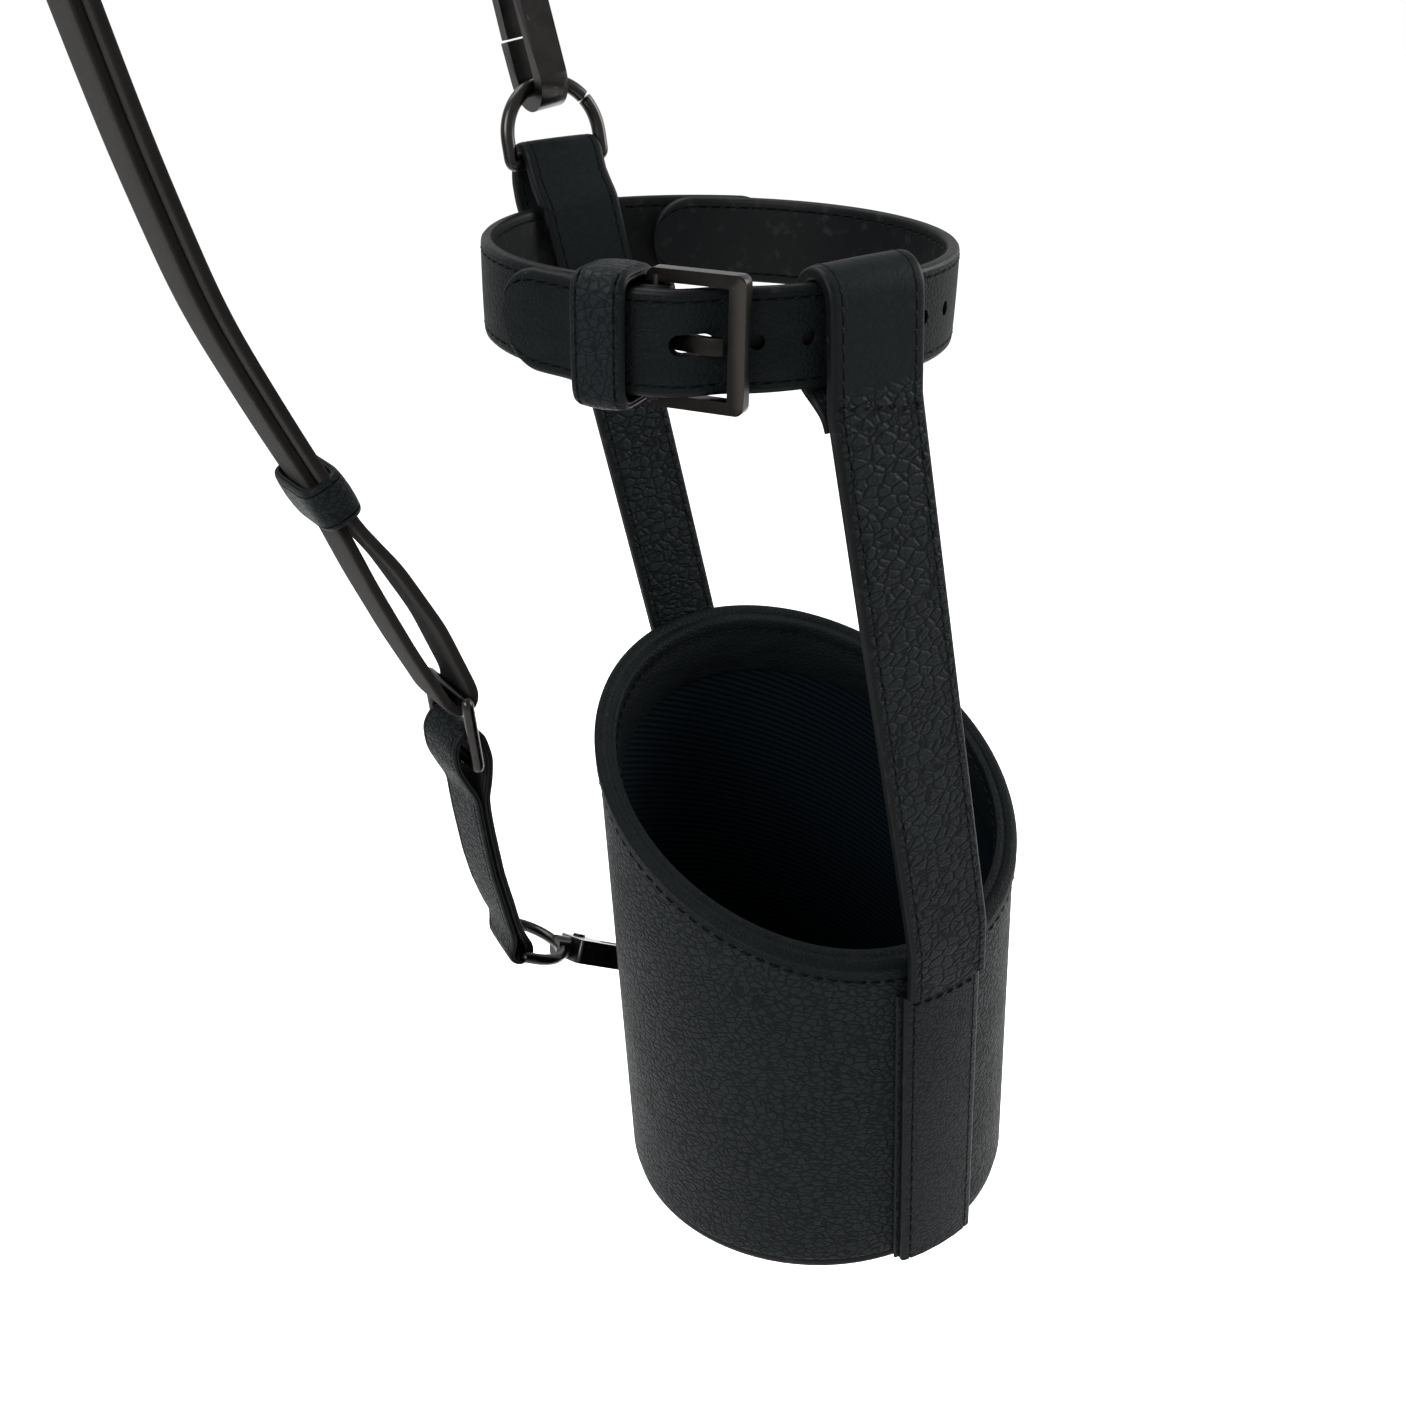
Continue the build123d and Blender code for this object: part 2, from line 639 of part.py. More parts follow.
# ---------------------------------------------------------------- slider ring
strap_plane = Plane(origin=(0, strap_plane_y, 0), x_dir=(1, 0, 0), z_dir=(0, -1, 0))
slider_top = (-51.8, 108.5)
slider_bottom = (-51.2, 92.9)
slider_half = 9.7
slider_plane = Plane(
    origin=(slider_bottom[0], strap_plane_y, slider_bottom[1]),
    x_dir=(0, 1, 0),
    z_dir=(slider_top[1] - slider_bottom[1], 0, slider_bottom[0] - slider_top[0]),
)
slider_height = slider_top[1] - slider_bottom[1]
with BuildPart() as slider_ring:
    with BuildLine(slider_plane) as slider_line:
        Line((0, 0), (slider_half, 0))
        Line((slider_half, 0), (slider_half, slider_height))
        Line((slider_half, slider_height), (-slider_half, slider_height))
        Line((-slider_half, slider_height), (-slider_half, 0))
        Line((-slider_half, 0), (0, 0))
    with BuildSketch(Plane(origin=slider_plane.origin, z_dir=slider_plane.x_dir)):
        Circle(wire_r)
    sweep(path=slider_line.wires()[0], transition=Transition.ROUND)
slider_ring.part.label = "slider_ring"
export_step(slider_ring.part, "parts/slider_ring.step")

# ---------------------------------------------------------------- leather tab
layer_t = 2.0
tab_layer_t = 1.6
loop_room = wire_r + 0.35
half_w = strap_w / 2
lower_loop_plane = Plane(
    origin=lower_bar,
    x_dir=Vector(1, 0, 0) - lower_bar_dir * Vector(1, 0, 0).dot(lower_bar_dir),
    z_dir=lower_bar_dir * -1,
)
tab_foot = (lower_bar.X, lower_bar.Z)
with BuildPart() as lower_tab:
    with BuildSketch(strap_plane):
        with BuildLine():
            Spline(
                (tab_foot[0] - 0.8, tab_foot[1] + 5.0),
                (-47.6, 54.0),
                (-49.2, 64.0),
                (-50.1, 75.0),
                (-50.4, 84.6),
            )
        trace(line_width=2 * tab_layer_t + 0.2)
        with BuildLine():
            Spline(
                (-51.3, 84.0),
                (-52.9, 87.6),
                (-54.9, 92.6),
                (-55.0, 98.0),
                (-52.0, 101.4),
                (-48.6, 99.0),
                (-47.4, 93.0),
                (-48.4, 87.0),
                (-49.5, 84.0),
            )
        trace(line_width=tab_layer_t)
    extrude(amount=half_w, both=True)
    with BuildSketch(lower_loop_plane):
        Circle(loop_room + tab_layer_t)
        with Locations((-0.8, 4.2)):
            Rectangle(2 * tab_layer_t + 0.2, 5.5, rotation=8)
        Circle(loop_room, mode=Mode.SUBTRACT)
    extrude(amount=half_w, both=True)
lower_tab.part.label = "lower_tab"
export_step(lower_tab.part, "parts/lower_tab.step")

# ---------------------------------------------------------------- shoulder strap
# One long strap: folded round the slider, doubled up through the keeper and over the
# arch, its outer layer going on down to the upper hook's eye.
arch_right_x = upper_bar.X
upper_loop_plane = Plane(
    origin=upper_bar,
    x_dir=Vector(1, 0, 0) - upper_bar_dir * Vector(1, 0, 0).dot(upper_bar_dir),
    z_dir=upper_bar_dir * -1,
)
fold_mid_r = 3.3
with BuildPart() as shoulder_strap:
    with BuildSketch(strap_plane):
        with BuildLine():
            Spline(
                (-72.1, 157.1),
                (-76.8, 168.0),
                (-86.8, 193.6),
                (-93.0, 221.0),
                (-97.0, 243.4),
                (-103.0, 280.0),
                (-102.0, 320.0),
                (-90.0, 354.0),
                (-64.0, 372.0),
                (-37.0, 356.0),
                (arch_right_x - 0.5, 320.0),
                (arch_right_x, upper_bar.Z + 12.0),
            )
        trace(line_width=2 * layer_t + 0.2)
        with BuildLine():
            Spline(
                (slider_top[0] - fold_mid_r, slider_top[1]),
                (-60.9, 122.2),
                (-66.6, 137.6),
                (-70.5, 150.2),
                (-73.1, 156.7),
                tangents=((0, 1), (-0.39, 0.92)),
            )
        trace(line_width=layer_t)
        with BuildLine():
            Spline(
                (slider_top[0] + fold_mid_r, slider_top[1]),
                (-53.9, 125.2),
                (-61.0, 140.1),
                (-68.3, 151.2),
                (-71.1, 157.5),
                tangents=((0, 1), (-0.39, 0.92)),
            )
        trace(line_width=layer_t)
        with BuildLine():
            ThreePointArc(
                (slider_top[0] - fold_mid_r, slider_top[1]),
                (slider_top[0], slider_top[1] - fold_mid_r),
                (slider_top[0] + fold_mid_r, slider_top[1]),
            )
        trace(line_width=layer_t)
    extrude(amount=half_w, both=True)
    with BuildSketch(upper_loop_plane):
        Circle(loop_room + layer_t)
        with Locations((0, 7.5)):
            Rectangle(2 * layer_t + 0.2, 12.0)
        Circle(loop_room, mode=Mode.SUBTRACT)
    extrude(amount=half_w, both=True)
shoulder_strap.part.label = "shoulder_strap"
export_step(shoulder_strap.part, "parts/shoulder_strap.step")

# ---------------------------------------------------------------- keeper on the strap
strap_keeper_w = 9.5
strap_keeper_plane = Plane(origin=(-72.1, strap_plane_y, 157.1), x_dir=(0, 1, 0), z_dir=(-0.4, 0, 0.917))
with BuildPart() as strap_keeper:
    with BuildSketch(strap_keeper_plane.offset(-strap_keeper_w / 2)):
        RectangleRounded(strap_w + 3.8, 2 * layer_t + 4.6, 1.8)
        RectangleRounded(strap_w + 0.9, 2 * layer_t + 1.5, 0.6, mode=Mode.SUBTRACT)
    extrude(amount=strap_keeper_w)
strap_keeper.part.label = "strap_keeper"
export_step(strap_keeper.part, "parts/strap_keeper.step")
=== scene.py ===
# %% [markdown]
# # Leather bottle holder
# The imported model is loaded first, as a fixed frame. Each visible leather, cloth and metal piece is
# then shaped on top of it, in the same metres, and rides on the body that the joints know.
# Lengths below are typed in millimetres, as a maker's drawing has them, and turned into metres once.

# %% Load the frame
import json
import bpy
import bmesh
import numpy as np
from math import cos, sin, pi, radians
from mathutils import Matrix


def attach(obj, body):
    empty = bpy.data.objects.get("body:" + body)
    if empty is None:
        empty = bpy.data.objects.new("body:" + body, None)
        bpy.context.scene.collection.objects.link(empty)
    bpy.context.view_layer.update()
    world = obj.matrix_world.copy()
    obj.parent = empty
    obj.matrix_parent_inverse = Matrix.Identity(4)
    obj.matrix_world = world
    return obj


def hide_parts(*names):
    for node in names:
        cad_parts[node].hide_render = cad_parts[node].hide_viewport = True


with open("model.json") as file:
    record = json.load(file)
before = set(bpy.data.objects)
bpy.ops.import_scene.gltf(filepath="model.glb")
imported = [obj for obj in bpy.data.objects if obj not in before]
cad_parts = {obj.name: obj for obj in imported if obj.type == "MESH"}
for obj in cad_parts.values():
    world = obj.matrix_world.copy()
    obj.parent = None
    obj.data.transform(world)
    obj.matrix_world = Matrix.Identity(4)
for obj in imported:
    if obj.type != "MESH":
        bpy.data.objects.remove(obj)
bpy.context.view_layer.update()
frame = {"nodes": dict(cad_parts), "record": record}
MM = 0.001

# %% [markdown]
# ## Camera and light
# Black leather is read from its highlights. Small hard lamps would give it bright specks, so three
# large soft boxes and a pale room are used, which give long soft highlights instead. The camera
# stands above and to the left of the front strap, with a normal lens.

# %% Camera
def camera_basis(forward, roll):
    """Right, up and backward axes of a camera that looks along forward, turned by roll about it."""
    side = np.cross(forward, (0.0, 0.0, 1.0))
    side /= np.linalg.norm(side)
    top = np.cross(side, forward)
    return np.stack([side * cos(roll) + top * sin(roll), top * cos(roll) - side * sin(roll), -forward])


look = np.array((0.47395, 0.75298, -0.45645))
look /= np.linalg.norm(look)
eye = bpy.data.objects.new("studio_camera", bpy.data.cameras.new("studio_camera"))
bpy.context.collection.objects.link(eye)
turned = Matrix(camera_basis(look, -0.057).T.tolist()).to_4x4()
turned.translation = (-0.157975, -0.212718, 0.24753)
eye.matrix_world = turned
eye.data.lens = 38.3
eye.data.sensor_width = 36.0
eye.data.clip_start = 0.01
bpy.context.scene.camera = eye
print("camera looks along", look.round(3))

# %% Lights
def soft_box(name, place, aim, size, watts):
    """A square area light at place, turned to face aim."""
    lamp = bpy.data.objects.new(name, bpy.data.lights.new(name, "AREA"))
    lamp.data.size = size
    lamp.data.energy = watts
    bpy.context.collection.objects.link(lamp)
    way = np.array(place, float) - np.array(aim, float)
    basis = camera_basis(-way / np.linalg.norm(way), 0.0)
    turn = Matrix(basis.T.tolist()).to_4x4()
    turn.translation = place
    lamp.matrix_world = turn
    print(name, watts, "W")


soft_box("left_box", (-0.9, -0.35, 0.75), (0, 0, 0.12), 0.5, 16.0)
soft_box("right_box", (0.95, -0.25, 0.45), (0, 0, 0.12), 0.5, 13.0)
soft_box("top_box", (-0.1, 0.35, 1.1), (0, 0, 0.1), 0.7, 15.0)
world = bpy.data.worlds.new("studio")
bpy.context.scene.world = world
world.use_nodes = True
room = world.node_tree.nodes["Background"]
room.inputs["Color"].default_value = (1.0, 1.0, 1.0, 1.0)
room.inputs["Strength"].default_value = 1.06
bpy.context.scene.view_settings.view_transform = "Standard"

# %% [markdown]
# ## Writing materials as sums
# A shader is easier to read as arithmetic than as a picture of wires. The small class below wraps
# a socket, so that `1 - mask * 0.3` adds the two Math nodes that it says.

# %% The socket wrapper
class Wire:
    """A node's output socket that adds Math nodes when it is used in an expression."""

    def __init__(self, material, socket):
        self.material = material
        self.socket = socket

    def math(self, operation, other=0.0, swap=False):
        pair = (other, self) if swap else (self, other)
        return self.material.node("ShaderNodeMath", {"operation": operation}, {0: pair[0], 1: pair[1]})

    def __add__(self, other):
        return self.math("ADD", other)

    def __sub__(self, other):
        return self.math("SUBTRACT", other)

    def __mul__(self, other):
        return self.math("MULTIPLY", other)

    __radd__ = __add__
    __rmul__ = __mul__

    def __rsub__(self, other):
        return self.math("SUBTRACT", other, swap=True)


class Finish:
    """A procedural material: one Principled shader and the nodes that feed it."""

    def __init__(self, name, **constants):
        self.data = bpy.data.materials.new(name)
        self.data.use_nodes = True
        self.tree = self.data.node_tree
        self.shader = self.tree.nodes["Principled BSDF"]
        for socket, value in constants.items():
            self.shader.inputs[socket.replace("_", " ")].default_value = value

    def node(self, kind, settings=None, inputs=None, output=0):
        """Adds any node: its settings first, then its sockets, and gives back one output."""
        made = self.tree.nodes.new(kind)
        for key, value in (settings or {}).items():
            setattr(made, key, value)
        for key, value in (inputs or {}).items():
            if isinstance(value, Wire):
                self.tree.links.new(value.socket, made.inputs[key])
            else:
                made.inputs[key].default_value = value
        return Wire(self, made.outputs[output])

    def place(self, stretch=(1.0, 1.0, 1.0), turn=(0.0, 0.0, 0.0)):
        """Object coordinates, turned and stretched."""
        found = self.node("ShaderNodeTexCoord", output="Object")
        return self.node("ShaderNodeMapping", {}, {"Vector": found, "Scale": stretch, "Rotation": turn})

    def noise(self, where, scale, detail=3.0, rough=0.55, output="Fac"):
        """Fractal noise, `scale` waves to the metre."""
        inputs = {"Vector": where, "Scale": scale, "Detail": detail, "Roughness": rough}
        return self.node("ShaderNodeTexNoise", {}, inputs, output)

    def cells(self, where, scale):
        """Distance to the nearest edge of cells, `scale` cells to the metre, in cells."""
        feature = {"feature": "DISTANCE_TO_EDGE"}
        return self.node("ShaderNodeTexVoronoi", feature, {"Vector": where, "Scale": scale}, "Distance")

    def waves(self, where, scale, direction, distortion=0.0, detail=2.0):
        """Straight ribs across a direction."""
        inputs = {"Vector": where, "Scale": scale, "Distortion": distortion, "Detail": detail}
        return self.node("ShaderNodeTexWave", {"bands_direction": direction}, inputs, "Fac")

    def step(self, value, low, high):
        """0 below low, 1 above high, smooth between."""
        inputs = {"Value": value, "From Min": low, "From Max": high}
        return self.node("ShaderNodeMapRange", {"interpolation_type": "SMOOTHSTEP"}, inputs)

    def blend(self, share, first, second):
        """The first colour where share is 0, the second where it is 1."""
        return self.node("ShaderNodeMix", {"data_type": "RGBA"}, {0: share, 6: first, 7: second}, 2)

    def bump(self, height, distance):
        """A normal from a height of 0 to 1, worth `distance` metres."""
        return self.node("ShaderNodeBump", {}, {"Height": height, "Distance": distance})

    def feed(self, **links):
        """Links each wire to the shader's socket of that name; _ stands for a space."""
        for socket, wire in links.items():
            self.tree.links.new(wire.socket, self.shader.inputs[socket.replace("_", " ")])
        return self


# %% [markdown]
# ## Leathers, cloth and floor
# The cup and straps are one pebbled hide, nearly black and a little cool: rounded cells of 2 to
# 3 mm with creases between them. They could be modelled, but a crease is finer than a stitch, so
# they are bumps: the edges of cells, bent by noise. The creases are also coloured darker than the
# crowns, as painted shade. The grain is pressed flat where the front strap is folded over the collar.

# %% Pebbled leather
FINE_CELLS = 2.3


def hide(name, across_mm, depth_mm, squeeze=(1.0, 1.0, 1.45), shine=0.5, calm_above=None):
    """Pebbles: distance to the edge of bent cells, with finer cells and pores on top.

    Height = pebble (0.75 + broad / 2) + 0.22 small + 0.12 pores. Above the height calm_above, in mm,
    the pebbles keep 8 % of their depth.
    """
    f = Finish(name, Specular_IOR_Level=0.03)
    where = f.place(squeeze)
    bend = f.noise(where, 260.0, 2.0, 0.5, "Color")
    reach = (1.6 * MM,) * 3
    bent = f.node("ShaderNodeVectorMath", {"operation": "MULTIPLY_ADD"}, {0: bend, 1: reach, 2: where})
    per_metre = 1 / (across_mm * MM)
    pebble = f.step(f.cells(bent, per_metre), 0.0, 0.2)
    small = f.step(f.cells(bent, FINE_CELLS * per_metre), 0.0, 0.35)
    pores = f.noise(where, 5200.0, 2.0)
    broad = f.noise(where, 60.0, 3.0)
    height = pebble * (0.75 + broad * 0.5) + small * 0.22
    if calm_above is not None:
        up = f.node("ShaderNodeSeparateXYZ", {}, {"Vector": f.place()}, "Z")
        calm = f.step(up, calm_above * MM, (calm_above + 3.0) * MM)
        height = height * (1.0 - 0.92 * calm)
        # Where the grain is pressed flat, the painted shade in the creases fades to one even tone.
        pebble = pebble * (1.0 - 0.8 * calm) + 0.45 * calm
        small = small * (1.0 - 0.8 * calm)
    height = height + pores * 0.12
    # Painted shade: the crease colour is darker than the crown colour, so the creases between the cells are
    # painted dark.
    crease, crown = (0.0016, 0.0024, 0.0029, 1.0), (0.0058, 0.0074, 0.008, 1.0)
    colour = f.blend(pebble * 0.7 + small * 0.3, crease, crown)
    rough = shine + 0.1 * (1.0 - pebble) + (broad - 0.5) * 0.16
    return f.feed(Base_Color=colour, Roughness=rough, Normal=f.bump(height, depth_mm * MM))


# %% Smooth belt leather, painted edges and thread
def belt_leather(name):
    """Close-grained leather: faint fine cells and long soft pull marks."""
    f = Finish(name, Specular_IOR_Level=0.03)
    where = f.place()
    fine = f.step(f.cells(where, 950.0), 0.0, 0.25)
    pull = f.noise(f.place((1.0, 1.0, 3.0)), 130.0, 4.0)
    pores = f.noise(where, 4200.0, 2.0)
    colour = f.blend(pull, (0.0006, 0.0013, 0.0015, 1.0), (0.0038, 0.0049, 0.0053, 1.0))
    return f.feed(
        Base_Color=colour,
        Roughness=0.46 + pull * 0.16,
        Normal=f.bump(fine * 0.7 + pull * 0.9 + pores * 0.2, 0.1 * MM),
    )


def edge_paint(name):
    """Black edge paint: smooth, a little wavy, slightly glossier than the hide."""
    f = Finish(name, Specular_IOR_Level=0.06)
    wave = f.noise(f.place(), 900.0, 2.0)
    worn = f.step(f.noise(f.place(), 350.0, 3.0), 0.56, 0.72)
    colour = f.blend(worn, (0.0016, 0.0019, 0.0021, 1.0), (0.0058, 0.0062, 0.0066, 1.0))
    return f.feed(Base_Color=colour, Roughness=0.42 + wave * 0.14, Normal=f.bump(wave, 0.05 * MM))


def waxed_thread(name):
    """Bonded black thread: two plies twisted round each other, seen as a fine slant."""
    f = Finish(name, Specular_IOR_Level=0.04)
    twist = f.waves(f.place(), 1500.0, "DIAGONAL", 1.0)
    return f.feed(
        Base_Color=f.blend(twist, (0.0004, 0.0005, 0.0006, 1.0), (0.0022, 0.0025, 0.0028, 1.0)),
        Roughness=0.4 + twist * 0.2,
        Normal=f.bump(twist, 0.04 * MM),
    )


# %% Suede and twill lining
def suede(name):
    """Napped flesh side: brownish black fibres, matt, with brushed patches painted lighter as sheen."""
    f = Finish(name, Specular_IOR_Level=0.03, Sheen_Weight=0.04, Sheen_Roughness=0.5)
    where = f.place()
    nap = f.noise(where, 3000.0, 4.0, 0.7)
    brushed = f.noise(where, 95.0, 4.0)
    fluff = f.step(f.noise(where, 1500.0, 2.0), 0.63, 0.75)
    # Painted sheen: the broad brushed patches are coloured lighter where the nap would catch light; the
    # fine nap adds tone.
    colour = f.blend(brushed * 0.7 + nap * 0.3, (0.002, 0.0018, 0.0016, 1.0), (0.009, 0.0078, 0.0067, 1.0))
    fibres = f.bump(nap + fluff * 0.5, 0.16 * MM)
    return f.feed(Base_Color=colour, Roughness=0.86 + nap * 0.12, Normal=fibres)


RIB_SLANT = radians(62.0)
RIBS_PER_M = 241.94


def twill(name):
    """Diagonal twill on the piece's own UV map, whose units are metres of cloth."""
    f = Finish(name, Specular_IOR_Level=0.02)
    uv = f.node("ShaderNodeTexCoord", output="UV")
    slanted = f.node("ShaderNodeMapping", {}, {"Vector": uv, "Rotation": (0.0, 0.0, RIB_SLANT)})
    rib = f.waves(slanted, RIBS_PER_M, "X", 0.6, 1.0)
    crossing = f.waves(slanted, 2 * RIBS_PER_M, "Y")
    fuzz = f.noise(f.place(), 3500.0, 2.0)
    height = rib + crossing * 0.35 + fuzz * 0.3
    colour = f.blend(rib, (0.0003, 0.0011, 0.0018, 1.0), (0.0022, 0.0038, 0.0054, 1.0))
    return f.feed(Base_Color=colour, Roughness=0.82 + fuzz * 0.12, Normal=f.bump(height, 0.16 * MM))


# %% Pale floor
def pale_floor(name):
    """Matt white paper, with a cloudiness too faint to show as a pattern."""
    f = Finish(name, Specular_IOR_Level=0.1)
    cloud = f.noise(f.place(), 3.0)
    colour = f.blend(cloud, (0.93, 0.93, 0.93, 1.0), (0.96, 0.96, 0.96, 1.0))
    return f.feed(Base_Color=colour, Roughness=0.8 + 0.1 * f.noise(f.place(), 8.0))


# %% [markdown]
# ## Metals and board
# The buckle is satin gunmetal, a dark plating over a brushed casting that shows lighter where
# fingers rub the edges. The rings and hooks are black nickel: the same tone, smoother. Both could
# be a plain dark metal, but plating is never even, so clouds and scuffs change tone and gloss.

# %% Metals
def gunmetal(name):
    """Fine brushing along z, cloudy plating, and paler metal on rubbed edges."""
    f = Finish(name, Metallic=1.0)
    brushed = f.noise(f.place((1.0, 1.0, 0.12)), 2600.0, 3.0)
    cloud = f.noise(f.place(), 160.0, 3.0)
    rub = f.node("ShaderNodeNewGeometry", output="Pointiness")
    worn = f.step(rub + (cloud - 0.5) * 0.05, 0.53, 0.66)
    base = f.blend(cloud, (0.006, 0.0056, 0.0052, 1.0), (0.012, 0.011, 0.0102, 1.0))
    return f.feed(
        Base_Color=f.blend(worn, base, (0.03, 0.0275, 0.025, 1.0)),
        Roughness=0.3 + brushed * 0.14 + cloud * 0.06,
        Normal=f.bump(brushed, 0.012 * MM),
    )


def black_nickel(name):
    """Cloudy dark plating with a few paler, duller scuffs."""
    f = Finish(name, Metallic=1.0)
    cloud = f.noise(f.place(), 220.0, 3.0)
    scuff = f.step(f.noise(f.place((1.0, 1.0, 0.3)), 900.0, 5.0), 0.62, 0.7)
    base = f.blend(cloud, (0.014, 0.0135, 0.013, 1.0), (0.028, 0.0265, 0.0255, 1.0))
    return f.feed(
        Base_Color=f.blend(scuff * 0.3, base, (0.08, 0.077, 0.074, 1.0)),
        Roughness=0.24 + cloud * 0.1 + scuff * 0.12,
        Normal=f.bump(cloud, 0.02 * MM),
    )


def grey_board(name):
    """Pressed paper board with short lying fibres."""
    f = Finish(name)
    fibre = f.noise(f.place((1.0, 1.0, 4.0)), 700.0, 4.0)
    colour = f.blend(fibre, (0.09, 0.075, 0.06, 1.0), (0.17, 0.145, 0.115, 1.0))
    return f.feed(Base_Color=colour, Roughness=0.8 + fibre * 0.15, Normal=f.bump(fibre, 0.1 * MM))


# %% The finishes in use
LEATHER = hide("pebbled_hide", 1.9, 0.2)
STRAP_HIDE = hide("strap_hide", 2.7, 0.26, (1.0, 1.0, 1.6), 0.46, 182.0)
SOFT_HIDE = hide("keeper_hide", 1.3, 0.06, (1.0, 1.0, 1.2), 0.42)
BELT = belt_leather("belt_leather")
EDGE = edge_paint("edge_paint")
THREAD = waxed_thread("thread")
SUEDE = suede("suede")
TWILL = twill("twill_lining")
GUNMETAL = gunmetal("satin_gunmetal")
NICKEL = black_nickel("black_nickel")
BOARD = grey_board("grey_board")
print("finishes", [m.name for m in bpy.data.materials])

# %% [markdown]
# ## Floor
# A sheet of white paper, far larger than the view. It lies a little under the cup, so that the
# base and the floor never share a plane.

# %% The floor
half = 60.0
floor_mesh = bpy.data.meshes.new("floor")
floor_z = -0.22
corners = [(x * half, y * half, floor_z) for x, y in ((-1, -1), (1, -1), (1, 1), (-1, 1))]
floor_mesh.from_pydata(corners, [], [(0, 1, 2, 3)])
floor_mesh.materials.append(pale_floor("pale_floor").data)
floor_plane = bpy.data.objects.new("floor", floor_mesh)
bpy.context.collection.objects.link(floor_plane)

# %% [markdown]
# ## Strips, tubes and rings
# Straps, belts, keepers and tabs are all cut from flat leather, so one function bends a strap's
# section along a line. The section has rounded edges, a shallow groove where the stitches run and
# a fine line along each edge where the two layers of leather are glued.

# %% Lines
def unit(v):
    """v over its own length, along the last axis."""
    return v / np.maximum(np.linalg.norm(v, axis=-1, keepdims=True), 1e-9)


def line(points, step=0.6, ease=3.0, closed=False):
    """The polyline through points, a sample every step mm, with its corners eased.

    The easing is a running mean `ease` mm long, made twice. Open ends stay where they are.
    """
    points = np.asarray(points, float)
    if closed:
        points = np.concatenate([points, points[:1]])
    walked = np.concatenate([[0.0], np.cumsum(np.linalg.norm(np.diff(points, axis=0), axis=1))])
    count = max(8, int(walked[-1] / step))
    at = np.linspace(0.0, walked[-1], count + 1)
    found = np.stack([np.interp(at, walked, points[:, k]) for k in range(points.shape[1])], axis=1)
    if closed:
        found = found[:-1]
    reach = int(ease / step / 2)
    if reach < 1:
        return found
    kernel = np.ones(2 * reach + 1) / (2 * reach + 1)
    for _ in range(2):
        if closed:
            wide = np.concatenate([found[-reach:], found, found[:reach]])
        else:
            head = 2 * found[0] - found[reach:0:-1]
            tail = 2 * found[-1] - found[-2 : -reach - 2 : -1]
            wide = np.concatenate([head, found, tail])
        found = np.stack([np.convolve(wide[:, k], kernel, "valid") for k in range(wide.shape[1])], axis=1)
    return found


def directions(points, closed=False):
    """Unit tangents along a sampled line."""
    if closed:
        return unit(np.roll(points, -1, axis=0) - np.roll(points, 1, axis=0))
    return unit(np.gradient(points, axis=0))


# %% Meshes from grids
def make(name, verts, faces, finishes, kinds, body, node=None, uv=None, sharp=42.0):
    """A mesh object from mm vertices and quads, riding on a body and standing for CAD nodes."""
    mesh = bpy.data.meshes.new(name)
    mesh.from_pydata((np.asarray(verts) * MM).tolist(), [], faces)
    for finish in finishes:
        mesh.materials.append(finish.data)
    mesh.polygons.foreach_set("material_index", np.asarray(kinds, np.int32))
    if uv is not None:
        layer = mesh.uv_layers.new(name="cloth")
        corners = np.empty(len(mesh.loops), np.int32)
        mesh.loops.foreach_get("vertex_index", corners)
        layer.data.foreach_set("uv", np.asarray(uv, np.float32)[corners].ravel())
    worked = bmesh.new()
    worked.from_mesh(mesh)
    bmesh.ops.recalc_face_normals(worked, faces=worked.faces)
    worked.to_mesh(mesh)
    worked.free()
    mesh.polygons.foreach_set("use_smooth", np.ones(len(mesh.polygons), bool))
    mesh.set_sharp_from_angle(angle=radians(sharp))
    thing = bpy.data.objects.new(name, mesh)
    bpy.context.collection.objects.link(thing)
    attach(thing, body)
    if node:
        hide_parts(*([node] if isinstance(node, str) else node))
    print(name, len(mesh.polygons), "faces")
    return thing


def grid_faces(rows, columns, closed_rows):
    """Quads of a grid whose columns always close on themselves, rows only if asked, plus end caps."""
    last = rows if closed_rows else rows - 1
    i, j = np.meshgrid(np.arange(last), np.arange(columns), indexing="ij")
    up, side = (i + 1) % rows, (j + 1) % columns
    quads = np.stack([i * columns + j, i * columns + side, up * columns + side, up * columns + j], axis=-1)
    faces = quads.reshape(-1, 4).tolist()
    if not closed_rows:
        faces.append(list(range(columns)))
        faces.append(list(range((rows - 1) * columns, rows * columns)))
    return faces, last


# %% Straps
def section(width, thick, groove, crown):
    """Points round a strap's section and the finish of each span: 0 front, 1 back, 2 edge.

    Front and back are v = ±(thick/2 + crown (1 - (2u/width)²)), less a dip at the stitching groove.
    """
    half, high = width / 2, thick / 2
    r = min(0.8, high * 0.75)
    inner = half - groove if groove else half * 0.6
    u = np.array([half - r, inner + 0.5, inner + 0.22, inner, inner - 0.22, inner - 0.5, half * 0.45])
    u = np.concatenate([-u, [0.0], u[::-1]])
    dip = np.where(np.abs(np.abs(u) - inner) < 0.01, 0.32, 0.0) if groove else 0.0
    v = high + crown * (1 - (2 * u / width) ** 2) * (np.abs(u) < half - r) - dip
    turn = np.radians([62.0, 32.0, 8.0])
    cu, cv = half - r + r * np.cos(turn), high - r + r * np.sin(turn)
    side_u = np.concatenate([cu, [half - 0.14], cu[::-1]])
    side_v = np.concatenate([cv, [0.0], -cv[::-1]])
    us = np.concatenate([u, side_u, u[::-1], -side_u[::-1]])
    vs = np.concatenate([v, side_v, -v[::-1], side_v[::-1]])
    kinds = [0] * (len(u) - 1) + [2] * (len(side_u) + 1) + [1] * (len(u) - 1) + [2] * (len(side_u) + 1)
    return us, vs, kinds


